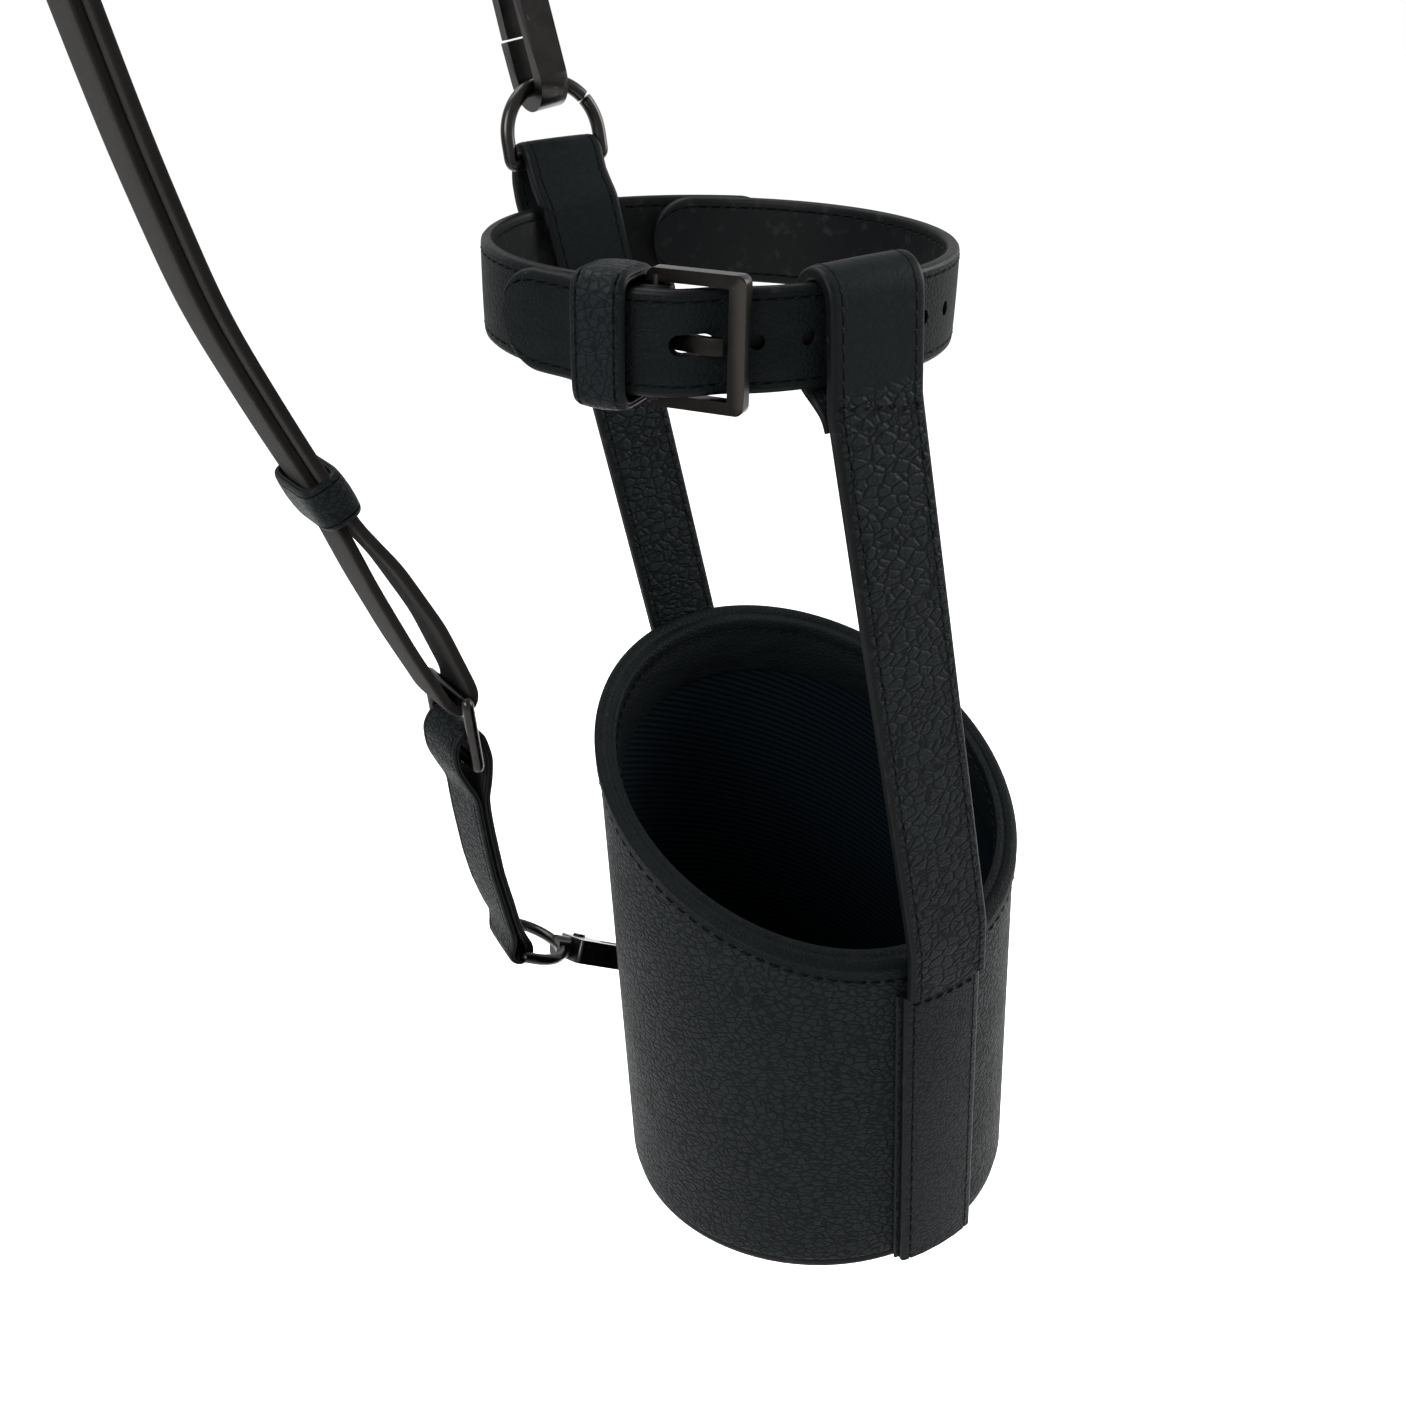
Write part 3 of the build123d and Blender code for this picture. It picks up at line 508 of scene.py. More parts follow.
class Strap:
    """A strap bent along a line: its points, the direction of its width and of its front."""

    def __init__(self, points, across, width, thick, closed=False, tip=(0.0, 0.0)):
        self.points, self.closed, self.width, self.thick = points, closed, width, thick
        along = directions(points, closed)
        across = np.broadcast_to(np.asarray(across, float), points.shape)
        self.side = unit(across - along * np.sum(across * along, axis=1, keepdims=True))
        self.front = np.cross(self.side, along)
        steps = np.linalg.norm(np.diff(points, axis=0), axis=1)
        self.walked = np.concatenate([[0.0], np.cumsum(steps)])
        self.narrow = np.ones(len(points))
        for length, distance in zip(tip, (self.walked, self.walked[-1] - self.walked)):
            if length:
                share = np.clip(distance / length, 0.0, 1.0)
                self.narrow *= 0.12 + 0.88 * np.sqrt(1 - (1 - share) ** 2)
        self.thin = np.ones(len(points))

    def build(self, name, body, node, finishes, groove=1.7, crown=0.12):
        """Sweeps the section: vertex = point + u · side + v · front."""
        u, v, kinds = section(self.width, self.thick, groove, crown)
        spread = self.side[:, None, :] * (u[None, :, None] * self.narrow[:, None, None])
        rise = self.front[:, None, :] * (v[None, :, None] * self.thin[:, None, None])
        verts = (self.points[:, None, :] + spread + rise).reshape(-1, 3)
        faces, rings = grid_faces(len(self.points), len(u), self.closed)
        slots = np.tile(kinds, rings).tolist() + ([] if self.closed else [2, 2])
        return make(name, verts, faces, finishes, slots, body, node)

    def row(self, u, face=1, start=3.0, end=3.0, pitch=2.7):
        """Places for stitches along the strap at u from its middle, on its front (1) or back (-1)."""
        total = self.walked[-1]
        count = max(2, int((total - start - end) / pitch))
        at = np.linspace(start, total - end, count)
        surface = self.points + self.side * (u * self.narrow)[:, None]
        surface = surface + self.front * (face * (self.thick / 2 - 0.2) * self.thin)[:, None]
        place = np.stack([np.interp(at, self.walked, surface[:, k]) for k in range(3)], axis=1)
        normal = np.stack([np.interp(at, self.walked, self.front[:, k] * face) for k in range(3)], axis=1)
        way = np.stack([np.interp(at, self.walked, directions(surface)[:, k]) for k in range(3)], axis=1)
        return place, unit(way), unit(normal)

    def cross_row(self, at, face=1, inset=1.8, pitch=2.4, slope=0.0):
        """Places for a row of stitches across the strap, `at` mm along it, rising by slope · u."""
        k = int(np.argmin(np.abs(self.walked - at)))
        half = self.width / 2 - inset
        u = np.linspace(-half, half, int(2 * half / pitch) + 1)[:, None]
        slanted = self.side[k] + directions(self.points)[k] * slope
        place = self.points[k] + slanted * u + self.front[k] * face * (self.thick / 2 + 0.02)
        way = np.broadcast_to(unit(slanted), place.shape)
        return place, way, np.broadcast_to(self.front[k] * face, place.shape)


# %% Stitches
STITCH_RINGS, STITCH_SIDES = 5, 6


def stitch(name, rows, body, length=1.9, radius=0.27):
    """Thread seen between its holes: at each place a bowed capsule whose ends dip into the leather.

    Along it, s from -1 to 1: its height is radius (0.55 - 1.2 s²).
    """
    place, way, normal = (np.concatenate(part) for part in zip(*rows))
    side = unit(np.cross(normal, way))
    normal = unit(np.cross(way, side))
    s = np.linspace(-1.0, 1.0, STITCH_RINGS)
    turn = np.linspace(0, 2 * pi, STITCH_SIDES, endpoint=False)
    slim = radius * np.sqrt(np.maximum(0.25, 1 - 0.6 * s**4))
    height = radius * (0.55 - 1.2 * s**2)
    local = np.stack(
        [
            np.broadcast_to(s[:, None] * length / 2, (STITCH_RINGS, STITCH_SIDES)),
            slim[:, None] * np.cos(turn) + s[:, None] * 0.12,
            slim[:, None] * np.sin(turn) + height[:, None],
        ],
        axis=-1,
    ).reshape(-1, 3)
    frame_of = np.stack([way, side, normal], axis=1)
    verts = (place[:, None, :] + np.einsum("vk,nkd->nvd", local, frame_of)).reshape(-1, 3)
    faces, _ = grid_faces(STITCH_RINGS, STITCH_SIDES, False)
    offset = STITCH_RINGS * STITCH_SIDES
    repeated = [[c + k * offset for c in f] for k in range(len(place)) for f in faces]
    return make(name, verts, repeated, [THREAD], [0] * len(repeated), body)


def tube(name, points, radius, body, node, closed=False, ends=1.0):
    """Round wire along a nearly flat line; open ends are rounded over `ends` times the radius."""
    along = directions(points, closed)
    flat_normal = np.linalg.svd(points - points.mean(axis=0), full_matrices=False)[2][2]
    lead = unit(np.cross(along, flat_normal))
    other = np.cross(along, lead)
    turn = np.linspace(0, 2 * pi, 20, endpoint=False)
    size = np.full(len(points), float(radius))
    if not closed:
        walked = np.concatenate([[0.0], np.cumsum(np.linalg.norm(np.diff(points, axis=0), axis=1))])
        near = np.minimum(walked, walked[-1] - walked) / (radius * ends)
        size *= 0.1 + 0.9 * np.sqrt(1 - (1 - np.clip(near, 0, 1)) ** 2)
    ring = lead[:, None, :] * np.cos(turn)[:, None] + other[:, None, :] * np.sin(turn)[:, None]
    verts = (points[:, None, :] + ring * size[:, None, None]).reshape(-1, 3)
    faces, _ = grid_faces(len(points), 20, closed)
    return make(name, verts, faces, [NICKEL], [0] * len(faces), body, node)


def slanted_ring(
    name, profile, finishes, node, spans=None, count=224, cloth_r=None, sharp=42.0
):
    """A closed profile turned round the cup's axis.

    Each point is (radius, height, share): z = height + share · rise · y, so share 1 follows the
    mouth. With a cloth_r in metres, the cloth coordinates are (turn · cloth_r, z).
    """
    radius, height, share = np.asarray(profile, float).T
    turn = np.linspace(0, 2 * pi, count, endpoint=False)[:, None]
    x, y = radius * np.cos(turn), radius * np.sin(turn)
    verts = np.stack([x, y, height + share * MOUTH_RISE * y], axis=-1)
    uv = None
    if cloth_r:
        run = np.broadcast_to(turn * cloth_r, x.shape)
        uv = np.stack([run, verts[..., 2] * MM], axis=-1).reshape(-1, 2)
    faces, rings = grid_faces(count, len(radius), True)
    kinds = np.tile(spans or [0] * len(radius), rings)
    return make(name, verts.reshape(-1, 3), faces, finishes, kinds, "holder", node, uv, sharp)


# %% [markdown]
# ## The cup
# A pebbled hide is wrapped round a card tube and closed under the two bands. Its mouth is one slanted
# cut. It could be cut from a straight tube, but every layer ends a little below the one outside it,
# so each layer is a profile turned round the axis whose top points rise with the mouth.

# %% Cup wall
MOUTH = 95.9
MOUTH_RISE = 20.3 / 42.0
WALL_R = 42.0
WALL_TOP = MOUTH - 0.9


def spread(start, end, count):
    """count points from start to end, as rows of (radius, height, share)."""
    return np.linspace(start, end, count).tolist()


wall = spread((41.0, 2.35, 0.0), (41.0, WALL_TOP, 1.0), 24)
wall += spread((WALL_R - 0.05, WALL_TOP, 1.0), (WALL_R, 3.0, 0.0), 48)
wall += [[WALL_R - 0.1, 2.6, 0.0], [WALL_R - 0.4, 2.35, 0.0]]
slanted_ring("cup_wall", wall, [LEATHER], "cup_shell", count=256)

# %% [markdown]
# ## Mouth
# The edge is bound with a rolled strip of softer leather. Inside it a flat strip faces the lining,
# with a crease where it is pressed down. Its hidden lip runs under the roll and closes the groove.

# %% Rolled binding and the strip inside it
def roll(centre, radius, drop_out, drop_in, count=14):
    """A binding's profile: up its outer skirt, over a round roll and down its inner skirt."""
    turn = np.radians(np.linspace(-25.0, 205.0, count))
    top = [[centre + radius * cos(a), MOUTH - radius * 1.02 + radius * sin(a), 1.0] for a in turn]
    foot = MOUTH - drop_out
    outer = [[centre + radius * 0.86, foot, 1.0], [centre + radius * 0.98, foot + 0.25, 1.0]]
    inner = [[centre - radius * 0.86, MOUTH - drop_in, 1.0]]
    return outer + top + inner


slanted_ring("rim_roll", roll(41.28, 1.3, 3.2, 1.9), [BELT], "rim_binding")
STRIP_TOP = MOUTH - 0.55
STRIP_IN = 38.3
crease = STRIP_IN + 0.12
below_mouth = [(STRIP_IN + 0.15, 13.0), (STRIP_IN, 12.7), (STRIP_IN, 3.4), (crease, 3.0), (STRIP_IN, 2.6)]
below_top = [(STRIP_IN, 0.5), (STRIP_IN + 0.15, 0.12), (38.8, 0.0), (39.6, 0.0), (39.8, 0.12)]
lip = [(40.1, 0.16), (40.8, 0.16), (40.8, 1.0), (39.85, 1.1)]
facing = [[r, MOUTH - drop, 1.0] for r, drop in below_mouth]
facing += [[r, STRIP_TOP - drop, 1.0] for r, drop in below_top + lip]
facing += [[39.35, MOUTH - 5.0, 1.0], [39.3, MOUTH - 13.0, 1.0]]
slanted_ring("rim_facing_strip", facing, [BELT], "rim_facing")

# %% [markdown]
# ## Lining and base
# Black twill lines the wall and the floor. The wall's cloth is wrapped and the floor's is a disc, so
# each has its own cloth coordinates. A leather disc with a painted edge closes the cup below.

# %% Twill lining
LINING_OUT, LINING_IN, LINING_TOP = 39.35, 38.95, MOUTH - 6.0
lining = spread((LINING_OUT, 4.6, 0.0), (LINING_OUT, LINING_TOP, 1.0), 12)
lining += spread((LINING_IN, LINING_TOP, 1.0), (LINING_IN, 4.6, 0.0), 24)
slanted_ring("twill_wall", lining, [TWILL], "cup_lining", cloth_r=39 * MM, sharp=60.0)
CENTRE_R = 0.02
cloth = np.array([(CENTRE_R, 4.05), (39.2, 4.05), (39.25, 4.3), (39.0, 4.5), (CENTRE_R, 4.5)])
turn = np.linspace(0, 2 * pi, 96, endpoint=False)[:, None]
height = np.broadcast_to(cloth[:, 1], (len(turn), len(cloth)))
disc = np.stack([cloth[:, 0] * np.cos(turn), cloth[:, 0] * np.sin(turn), height], axis=-1).reshape(-1, 3)
disc_faces, _ = grid_faces(len(turn), len(cloth), True)
kinds = [0] * len(disc_faces)
make("twill_floor", disc, disc_faces, [TWILL], kinds, "holder", "lining_floor", disc[:, :2] * MM)

# %% Base disc
under = [(CENTRE_R, 0.0), (20.0, 0.0), (40.6, 0.0)]
rounded = [(41.2, 0.12), (41.5, 0.5), (41.52, 1.1), (41.42, 1.2), (41.52, 1.3), (41.5, 1.9)]
over = [(41.3, 2.2), (CENTRE_R, 2.2)]
base = [[r, z, 0.0] for r, z in under + rounded + over]
spans = [0] * len(under) + [1] * len(rounded) + [0] * len(over)
slanted_ring("base_disc", base, [LEATHER, EDGE], "base_leather", spans=spans)

# %% [markdown]
# ## Mouth stitches
# One row holds the binding outside, one holds the facing inside. Each stitch is a small mesh and not
# a dent, because it catches the light as a short dash.

# %% Stitches under the binding
STITCH_PITCH = 2.7


def rim_row(radius, drop, face):
    """Places for stitches round the mouth, `drop` mm below it."""
    a = np.linspace(0, 2 * pi, int(2 * pi * radius / STITCH_PITCH), endpoint=False)
    x, y = radius * np.cos(a), radius * np.sin(a)
    ring = np.stack([x, y, MOUTH - drop + MOUTH_RISE * y], axis=1)
    normal = np.stack([np.cos(a), np.sin(a), np.zeros(len(a))], axis=1) * face
    return ring, directions(ring, True), normal


stitch("cup_stitches", [rim_row(42.15, 4.2, 1), rim_row(38.2, 3.0, -1)], "holder")

# %% [markdown]
# ## Bands
# Each band is a strip glued flat to the cup and stitched near both edges and across its top, with a
# thinner strip under it that shows as a fine step. The front one stops where the strap leaves the
# cup. They are bent to the wall and not laid against it, so no gap shows along an edge.

# %% Bands and what shows under them
STRAP_WIDE, STRAP_THICK = 16.0, 2.15
FRONT_WIDE, FRONT_MIDDLE = 18.4, -1.0
BAND_R, UNDERLAY_R = 43.12, 42.38
BANDS = (("front", -1, FRONT_WIDE, FRONT_MIDDLE, 68.7), ("back", 1, STRAP_WIDE, 0.0, 103.7))


def bent_strip(name, side, middle, radius, foot, top, step, shape, finishes, node=None):
    """A vertical strip bent to the cup: angle = side 90° + (u + middle) / radius, for u across it."""
    z = line([[0.0, foot], [0.0, top]], step, 0.0)[:, 1]
    u, v, kinds = shape
    angle = side * pi / 2 + (u + middle) / radius
    flat = np.stack([(radius + v) * np.cos(angle), (radius + v) * np.sin(angle)], axis=1)
    flat = np.broadcast_to(flat, (len(z), len(u), 2))
    rise = np.broadcast_to(z[:, None, None], (len(z), len(u), 1))
    verts = np.concatenate([flat, rise], axis=2).reshape(-1, 3)
    faces, rings = grid_faces(len(z), len(u), False)
    return make(name, verts, faces, finishes, np.tile(kinds, rings).tolist() + [2, 2], "holder", node)


def band_stitches(side, wide, middle, top):
    """Rows up both edges of a band and one row just below its top."""
    rows = []
    z = np.arange(3.0, top - 1.5, STITCH_PITCH)
    for at in (middle - wide / 2 + 2.0, middle + wide / 2 - 2.0):
        a = side * pi / 2 + at / BAND_R
        out = np.array([cos(a), sin(a), 0.0])
        place = out * 43.98 + z[:, None] * [0, 0, 1]
        rows.append((place, np.tile([0.0, 0, 1], (len(z), 1)), np.tile(out, (len(z), 1))))
    a = (middle + np.arange(2.6 - wide / 2, wide / 2 - 2.5, 2.5)) / BAND_R + side * pi / 2
    across = np.stack([44.2 * np.cos(a), 44.2 * np.sin(a), np.full(len(a), top - 1.9)], axis=1)
    rows.append((across, directions(across), unit(across * [1, 1, 0])))
    return rows


SOFT_HIDES, HIDES = [SOFT_HIDE, SOFT_HIDE, EDGE], [LEATHER, LEATHER, EDGE]
band_rows = []
for end, side, wide, middle, top in BANDS:
    shape = section(wide, 2.1, 2.0, 0.05)
    bent_strip(f"{end}_band_strip", side, middle, BAND_R, 0.75, top, 1.2, shape, SOFT_HIDES, f"{end}_band")
    band_rows += band_stitches(side, wide, middle, top)
stitch("band_stitches", band_rows, "holder")
for end, side, wide, middle, top in BANDS:
    shape = section(wide + 1.4, 0.7, 0, 0.0)
    bent_strip(f"{end}_underlay", side, middle, UNDERLAY_R, 0.7, top - 0.1, 3.0, shape, HIDES)

# %% [markdown]
# ## Front strap
# Two layers of hide, grain outside, edge-painted. It leaves the band, leans to the left, loops over
# the collar and is sewn to itself just below. Its side view is drawn first, then the lean is added,
# which keeps the loop's two legs parallel.

# %% Front strap
STRAP_HIDES = [STRAP_HIDE, STRAP_HIDE, EDGE]
EDGE_ROW = STRAP_WIDE / 2 - 1.75
X = np.array([1.0, 0.0, 0.0])
Y = np.array([0.0, 1.0, 0.0])


def half_turn(y, z, radius, start=0, stop=181):
    """Points over the top of a bar at (y, z) seen from the side, from -Y to +Y."""
    turn = np.radians(np.arange(start, stop, 20))
    return [(y - radius * cos(a), z + radius * sin(a)) for a in turn]


def lean(z, low, high, shift):
    """Sideways shift of a strap at height z: 0 below low, then straight to shift at high."""
    return np.interp(z, [low, high], [0.0, shift])


front_side = [(-43.95, 69.0), (-43.95, 80.0), (-34.89, 180.6), (-34.89, 197.5)]
front_side += half_turn(-30.99, 198.0, 3.9)
front_side += [(-27.09, 184.6), (-32.9, 180.2), (-33.2, 178.4)]
yz = line(front_side, 0.6, 2.4)
sideways = lean(yz[:, 1], 79.0, 181.0, -10.0) + FRONT_MIDDLE
front = Strap(np.column_stack([sideways, yz]), X, FRONT_WIDE, STRAP_THICK)
front.thin = np.interp(front.walked[-1] - front.walked, [0, 8], [0.45, 1.0])
front.build("front_strap_hide", "holder", "front_strap", STRAP_HIDES, 2.0)
loop_rows = [front.row(u, 1, 1.5, 24.0) for u in (2.0 - FRONT_WIDE / 2, FRONT_WIDE / 2 - 2.0)]
stitch("front_stitches", loop_rows + [front.cross_row(112.0, slope=-0.27)], "holder")

# %% [markdown]
# ## Back strap
# It rises inside the collar, folds round the upper ring's bar and comes down outside, so that the
# collar is held between its layers. It leans further than the front one.

# %% Back strap
back_side = [(43.95, 104.0), (43.95, 119.0), (44.3, 183.2), (44.3, 204.2)]
back_side += half_turn(49.8, 211.5, 2.75)
back_side += [(54.1, 204.7), (54.1, 184.7), (46.7, 178.9)]
yz = line(back_side, 0.6, 2.0)
back = Strap(np.column_stack([lean(yz[:, 1], 112.0, 208.5, -18.0), yz]), X, STRAP_WIDE, STRAP_THICK)
back.build("back_strap_hide", "holder", "back_strap", STRAP_HIDES, 1.75)
back_rows = [back.row(u, face, 2.0, 6.0) for u in (-EDGE_ROW, EDGE_ROW) for face in (1, -1)]
stitch("back_stitches", back_rows + [back.cross_row(103.5, -1), back.cross_row(128.0, 1)], "holder")

# %% [markdown]
# ## Collar
# Two belts lie on circles that cross at the front and the back. One carries the buckle, the other
# has the tongue, an oblong hole for the prong and six round holes. The collar is tilted, so it has
# its own frame, and every place on it is given by radius and angle.

# %% The collar's own frame
collar_z = unit(np.array([0.053876, -0.040906, 0.997709]))
collar_x = unit(np.array([1.0, 0.0, -0.054]))
collar_y = np.cross(collar_z, collar_x)
collar_o = np.array([-10.5, 8.4, 193.6])


def on_collar(radius, degrees, height=0.0):
    """A point given by radius, angle and height in the collar's slightly tilted frame."""
    a = np.radians(degrees)
    radius, height = np.broadcast_to(radius, np.shape(a)), np.broadcast_to(height, np.shape(a))
    return (
        collar_o
        + collar_x * (radius * np.cos(a))[..., None]
        + collar_y * (radius * np.sin(a))[..., None]
        + collar_z * height[..., None]
    )


def ease(v):
    """v² (3 - 2 v) between 0 and 1."""
    v = np.clip(v, 0, 1)
    return v * v * (3 - 2 * v)


# %% Buckle belt
BELTS = [BELT, BELT, EDGE]
INNER_R, CROSSING = 39.8, 2.3
HEEL_R, HEEL_DEG = 41.2, -137.0
degrees = np.arange(41.0, 209.0, 1.5)
radius = INNER_R + CROSSING - CROSSING * ease((degrees - 85.0) / 60.0)
round_heel = np.radians(np.arange(180.0, -31.0, -22.0))
wrap_degrees = HEEL_DEG + 360 + np.degrees(STRAP_THICK * np.sin(round_heel) / HEEL_R)
wrap_radius = HEEL_R + STRAP_THICK * np.cos(round_heel)
tail_degrees, tail_radius = [218.0, 213.0, 209.0], [43.0, 42.1, 41.6]
all_degrees = np.concatenate([degrees, wrap_degrees, tail_degrees])
all_radii = np.concatenate([radius, wrap_radius, tail_radius])
buckle_line = line(on_collar(all_radii, all_degrees), 0.6, 1.6)
buckle_belt = Strap(buckle_line, -collar_z, STRAP_WIDE, STRAP_THICK, tip=(7.0, 0.0))
buckle_belt.thin = np.interp(buckle_belt.walked, [0, 9, 110, 117, 135], [0.45, 1, 1, 0.5, 0.42])
belt_a = buckle_belt.build("buckle_belt", "holder", "collar_buckle_belt", BELTS, 1.75)

# %% Tongue belt
def tongue_radius(degrees):
    """Radius of the tongue belt before it passes over the heel bar: outside the collar at its front."""
    return INNER_R + CROSSING * ease((-92.0 - degrees) / 30.0)


degrees = np.arange(75.0, -177.1, -1.5)
over_heel = 3.3 * ease((-122.0 - degrees) / 12.0) * ease((degrees + 160.0) / 18.0)
tongue_line = line(on_collar(tongue_radius(degrees) + over_heel, degrees), 0.6, 2.0)
tongue_belt = Strap(tongue_line, collar_z, STRAP_WIDE, STRAP_THICK, tip=(8.0, 8.5))
belt_b = tongue_belt.build("tongue_belt", "holder", "collar_tongue_belt", BELTS, 1.75)

# %% [markdown]
# ## Holes
# Punched through on the real belt. The prong's hole is open, but the round ones are cut here only to
# the last half millimetre of leather, so that they look dark, as they do on the buckled collar.

# %% Holes
def punch(target, cuts):
    """Cuts oblong or round holes; each cut is (degrees, half length, half height, floor radius)."""
    turn = np.linspace(0, 2 * pi, 28, endpoint=False)
    for degrees_at, half_long, half_high, floor_r in cuts:
        along = np.sign(np.cos(turn)) * (half_long - half_high) + half_high * np.cos(turn)
        angles = degrees_at + np.degrees(along / 42.0)
        heights = half_high * np.sin(turn)
        rings = [on_collar(np.full(len(turn), r), angles, heights) for r in (floor_r, 50.0)]
        faces, _ = grid_faces(2, len(turn), False)
        mesh = bpy.data.meshes.new("punch")
        mesh.from_pydata((np.concatenate(rings) * MM).tolist(), [], faces)
        worked = bmesh.new()
        worked.from_mesh(mesh)
        bmesh.ops.recalc_face_normals(worked, faces=worked.faces)
        worked.to_mesh(mesh)
        worked.free()
        mesh.materials.append(EDGE.data)
        tool = bpy.data.objects.new("punch", mesh)
        bpy.context.collection.objects.link(tool)
        cut = target.modifiers.new("hole", "BOOLEAN")
        cut.operation = "DIFFERENCE"
        cut.solver = "EXACT"
        cut.object = tool
        cut.material_mode = "TRANSFER"
        bpy.context.view_layer.objects.active = target
        bpy.ops.object.modifier_apply(modifier=cut.name)
        bpy.data.objects.remove(tool)
    print(target.name, "punched", len(cuts), "times,", len(target.data.polygons), "faces")


HOLE_PITCH_DEG, THROUGH_R, HOLE_R = 11.4, 35.0, 1.2
round_at = [-128.0 + HOLE_PITCH_DEG * k for k in range(1, 7)]
round_holes = [(at, HOLE_R, HOLE_R, tongue_radius(at) - 0.6) for at in round_at]
punch(belt_b, [(-129.3, 3.1, 1.6, THROUGH_R)] + round_holes)
punch(belt_a, [(HEEL_DEG, 3.3, 1.6, THROUGH_R)])

# %% Collar stitches
collar_rows = [tongue_belt.row(u, face, 3.0, 3.0) for face in (1, -1) for u in (-EDGE_ROW, EDGE_ROW)]
collar_rows += [buckle_belt.row(u, face, 3.0, 22.0) for u in (-EDGE_ROW, EDGE_ROW) for face in (1, -1)]
stitch("collar_stitches", collar_rows, "holder", 1.8, 0.24)

# %% [markdown]
# ## Keepers
# A keeper is a short strip closed on itself round both layers. It is one thickness of hide, turned
# a little outwards by the belts that fill it, and stitched along both edges. A box would do for its
# size, but its soft corners are what is seen, so it is a strap bent round a rounded rectangle.

# %% Keepers
def rounded_loop(centre, first, second, half_first, half_second, corner):
    """A rounded rectangle as a closed line: |x/a|^n + |y/b|^n = 1 with n = 2 + 6 / corner."""
    turn = np.linspace(0, 2 * pi, 160, endpoint=False)
    c, s = np.cos(turn), np.sin(turn)
    power = 2.0 / (2.0 + 6.0 / corner)
    a = np.sign(c) * np.abs(c) ** power * half_first
    b = np.sign(s) * np.abs(s) ** power * half_second
    points = centre + first * a[:, None] + second * b[:, None]
    return line(points, 0.45, 0.9, closed=True)


def keeper(name, loop, across, wide, thick, edge_row):
    """A closed strip with two rows of stitches on its outside."""
    made = Strap(loop, across, wide, thick, closed=True)
    made.build(f"{name}_strip", name, name, SOFT_HIDES, 1.2, 0.45)
    rows = [made.row(u, 1, 0.5, 0.5, 2.3) for u in (-edge_row, edge_row)]
    stitch(f"{name}_stitches", rows, name, 1.6, 0.24)


at = radians(-146.0)
outward = collar_x * cos(at) + collar_y * sin(at)
tangent = -collar_x * sin(at) + collar_y * cos(at)
collar_loop = rounded_loop(collar_o + outward * 42.8, outward, collar_z, 5.65, 9.45, 1.4)
keeper("collar_keeper", collar_loop, tangent, 8.6, 1.55, 3.1)
STRAP_Y = 57.2
strap_way = unit(np.array([-0.4, 0.0, 0.917]))
keeper_middle = np.array([-72.1, STRAP_Y, 157.1])
strap_loop = rounded_loop(keeper_middle, Y, np.cross(strap_way, Y), 9.2, 3.55, 2.2)
keeper("strap_keeper", strap_loop, strap_way, 9.5, 1.45, 3.55)

# %% [markdown]
# ## Tabs
# The small tab at the foot of the back band holds the rear ring. The long one is a closed loop of
# two layers: round the slider's lower bar at its top, round the lower hook's eye at its foot. Its
# foot twists from the strap's plane to the eye's, so its width is turned along the way.

# %% Rear tab
rear = [(45.05, 2.0), (45.05, 10.5), (45.05, 12.0)]
rear += half_turn(47.45, 12.0, 2.4, 15)
rear += [(49.6, 10.6), (46.75, 6.5), (46.75, 2.0)]
yz = line(rear, 0.5, 1.2)
rear_tab = Strap(np.column_stack([np.zeros(len(yz)), yz]), X, 15.6, 1.5)
rear_tab.build("rear_tab_strip", "holder", "rear_ring_tab", STRAP_HIDES, 1.6, 0.05)
rear_rows = [rear_tab.cross_row(rear_tab.walked[-1] - back_off) for back_off in (2.2, 4.0)]
stitch("rear_tab_stitches", rear_rows, "holder", 1.8, 0.24)

# %% Long tab
def sideways_of(flat):
    """The unit normal of a line in the strap's plane (x, z), to its left."""
    heading = unit(np.gradient(flat, axis=0))
    return np.stack([-heading[:, 1], heading[:, 0]], axis=1)


def round_eye(eye, way, radius, start):
    """Points round a hook's eye at `eye`, whose bar lies along way, from start degrees backwards."""
    first = unit(X - way * way[0])
    second = np.cross(-way, first)
    turn = np.radians(np.arange(start, -181.0 - start, -20.0))
    return eye + radius * (first * np.cos(turn)[:, None] + second * np.sin(turn)[:, None])


eye_low, eye_low_way = np.array([-44.73, 57.65, 40.03]), unit(np.array([0.150, 0.985, -0.082]))
middle = [(-45.7, 46.0), (-46.8, 50.5), (-48.1, 57.0), (-49.2, 64.0), (-50.1, 75.0), (-50.35, 80.0)]
middle = np.array(middle)
apart = sideways_of(middle) * 0.88
drop_shape = [(-51.3, 84.2), (-52.9, 87.6), (-54.9, 92.6), (-55.0, 98.0), (-52.0, 101.4)]
drop_shape += [(-48.6, 99.0), (-47.4, 93.0), (-48.4, 87.0), (-49.4, 84.2)]
upper = np.concatenate([middle + apart, drop_shape, (middle - apart)[::-1]])
upper = np.column_stack([upper[:, 0], np.full(len(upper), STRAP_Y), upper[:, 1]])
foot = round_eye(eye_low, eye_low_way, 2.5, 40.0)
tab_points = line(np.concatenate([upper, foot]), 0.6, 2.6, closed=True)
share = np.clip((tab_points[:, 2] - 40.0) / 16.0, 0, 1)[:, None]
tab = Strap(tab_points, -unit(Y * share + eye_low_way * (1 - share)), STRAP_WIDE, 1.6, closed=True)
tab.build("long_tab", "holder", "lower_tab", [LEATHER, SUEDE, EDGE], 1.6, 0.08)

# %% [markdown]
# ## Shoulder strap
# One long strip of soft split leather, doubled: from the slider's top bar both layers rise through
# the keeper, over the shoulder and down to the upper hook's eye. It is suede on both faces. Cloth
# simulation would let it sag, but both ends are pulled tight, so its route is drawn. Between the
# slider and the keeper the layers part like a leaf, and above it they lie slightly side by side.

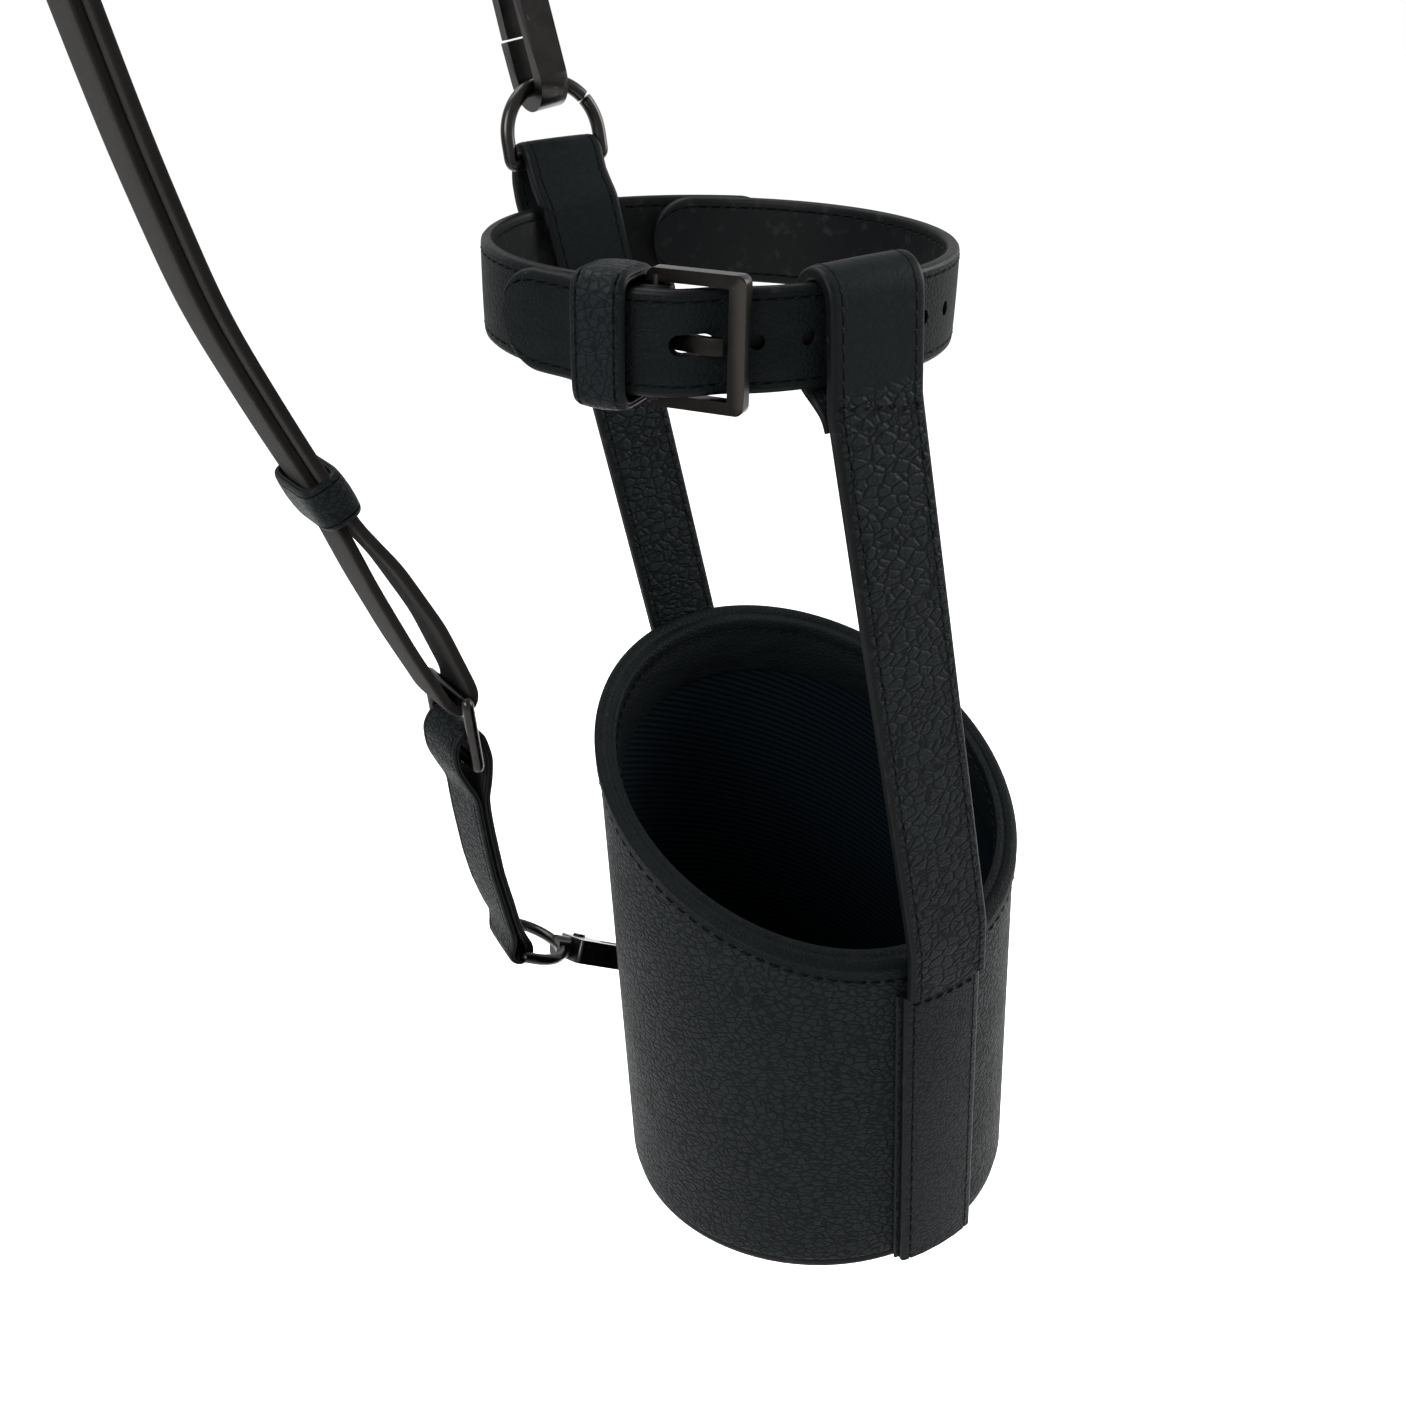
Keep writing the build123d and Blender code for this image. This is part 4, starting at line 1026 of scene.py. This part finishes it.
# %% Doubled strap
route = [(-72.1, 157.1), (-76.8, 168.0), (-86.8, 193.6), (-93.0, 221.0), (-97.0, 243.4), (-103.0, 280.0)]
route += [(-102.0, 320.0), (-90.0, 354.0), (-64.0, 372.0), (-37.0, 356.0), (-24.8, 320.0), (-24.3, 278.2)]
centre = line(route, 3.0, 16.0)
apart = sideways_of(centre) * 1.06
left_leg = [(-55.1, 108.5), (-60.9, 122.2), (-66.6, 137.6), (-70.5, 150.2)]
right_leg = [(-48.5, 108.5), (-53.9, 125.2), (-61.0, 140.1), (-68.3, 151.2)]
fold = [(-51.8 + 3.3 * cos(a), 108.5 + 3.3 * sin(a)) for a in np.radians(np.arange(-20, -161, -20))]
eye_up, eye_up_way = np.array([-24.29, 57.97, 266.16]), unit(np.array([0.018, 0.989, -0.146]))


def shifted(points, offset):
    """Strap-plane points (x, z) in space; offset moves them along +Y between keeper and arch."""
    points = np.asarray(points)
    amount = offset * ease((points[:, 1] - 135.0) / 25.0) * (points[:, 0] < -60.0)
    return np.column_stack([points[:, 0], STRAP_Y + amount, points[:, 1]])


outer = shifted(np.concatenate([left_leg, centre + apart]), 1.6)
inner = shifted(np.concatenate([(centre - apart)[::-1], right_leg[::-1]]), -1.6)
whole = np.concatenate([outer, round_eye(eye_up, eye_up_way, 2.7, 50.0), inner, shifted(fold, 0.0)])
strap_points = line(whole, 1.0, 5.0, closed=True)
near_eye = np.clip(1 - np.linalg.norm(strap_points - eye_up, axis=1) / 25.0, 0, 1)[:, None]
strap_across = unit(Y * (1 - near_eye) + eye_up_way * near_eye)
shoulder = Strap(strap_points, -strap_across, STRAP_WIDE, 2.0, closed=True)
shoulder.build("doubled_strap", "holder", "shoulder_strap", [SUEDE, SUEDE, SUEDE], 0, 0.15)

# %% [markdown]
# ## Rings
# Drawn wire bent to a D and closed by a butt joint, which shows as a fine notch on one leg. A plain
# closed ring would be simpler, but the notch is what tells a bent ring from a cast one. The slider
# is the same wire, bent to a rounded rectangle and welded.

# %% D-rings and slider
WIRE_R = 1.3
BOW_R, BOW_RISE, JOINT_DEG = 9.6, 4.0, 40


def bow(start, stop):
    """Points of a D's bow between two angles, five degrees apart."""
    arc = np.radians(np.arange(start, stop, 5.0))
    return np.stack([BOW_R * np.cos(arc), BOW_RISE + BOW_R * np.sin(arc)], axis=1)


def d_ring(name, origin, rise, body, node):
    """Wire from the joint on one leg, round the bow and the bar and back to the joint.

    The bar lies along X, and rise points from the bar to the bow.
    """
    end = np.radians(JOINT_DEG - 0.7)
    last = [[BOW_R * cos(end), BOW_RISE + BOW_R * sin(end)]]
    flat = np.concatenate([bow(JOINT_DEG, 181), [[-BOW_R, 0.0], [BOW_R, 0.0]], bow(0, JOINT_DEG), last])
    flat = line(flat, 0.3, 1.2)
    tube(name, origin + np.outer(flat[:, 0], X) + np.outer(flat[:, 1], rise), WIRE_R, body, node, ends=0.12)


def rising(degrees):
    """The direction `degrees` above +Y."""
    return np.array([0.0, cos(radians(degrees)), sin(radians(degrees))])


d_ring("upper_ring_wire", np.array([-18.0, 49.8, 211.5]), rising(81.5), "upper_ring", "upper_d_ring")
d_ring("rear_ring_wire", np.array([0.0, 47.45, 12.0]), rising(70.0), "rear_ring", "rear_d_ring")
slider = [(-51.2, 47.5, 92.9), (-51.2, 66.9, 92.9), (-51.8, 66.9, 108.5), (-51.8, 47.5, 108.5)]
tube("slider_wire", line(slider, 0.5, 1.6, closed=True), WIRE_R, "slider", "slider_ring", closed=True)

# %% [markdown]
# ## Cast metal
# The buckle, hooks, gates and rivets are castings whose exact shapes the frame already has, so they
# are carried over from it. A small bevel breaks their edges, as tumbling does to a casting before
# it is plated.

# %% Soften the castings
castings = ["buckle_frame", "buckle_prong"]
castings += [f"{end}_hook_{piece}" for end in ("lower", "upper") for piece in ("body", "gate", "pin")]
for node in castings:
    thing = frame["nodes"][node]
    weld = thing.modifiers.new("weld", "WELD")
    weld.merge_threshold = 0.01 * MM
    soften = thing.modifiers.new("soften", "BEVEL")
    soften.width = 0.3 * MM
    soften.segments = 3
    soften.limit_method = "ANGLE"
    soften.angle_limit = radians(38)
    soften.use_clamp_overlap = True
    soften.harden_normals = True
print("softened", len(castings), "castings")

# %% [markdown]
# ## Finishes on what is carried over
# Any CAD node that no new piece stands for keeps its shape and takes the finish of its material.

# %% Dress the CAD nodes
DRESS = {
    "suede": SUEDE,
    "leather": LEATHER,
    "lining": TWILL,
    "board": BOARD,
    "gunmetal": GUNMETAL,
    "black_nickel": NICKEL,
}
slot_of = {part["node"]: part["material_slot"] for part in frame["record"]["subparts"]}
for node, thing in frame["nodes"].items():
    thing.data.materials.clear()
    thing.data.materials.append(DRESS[slot_of[node]].data)
print("dressed", len(slot_of), "nodes")
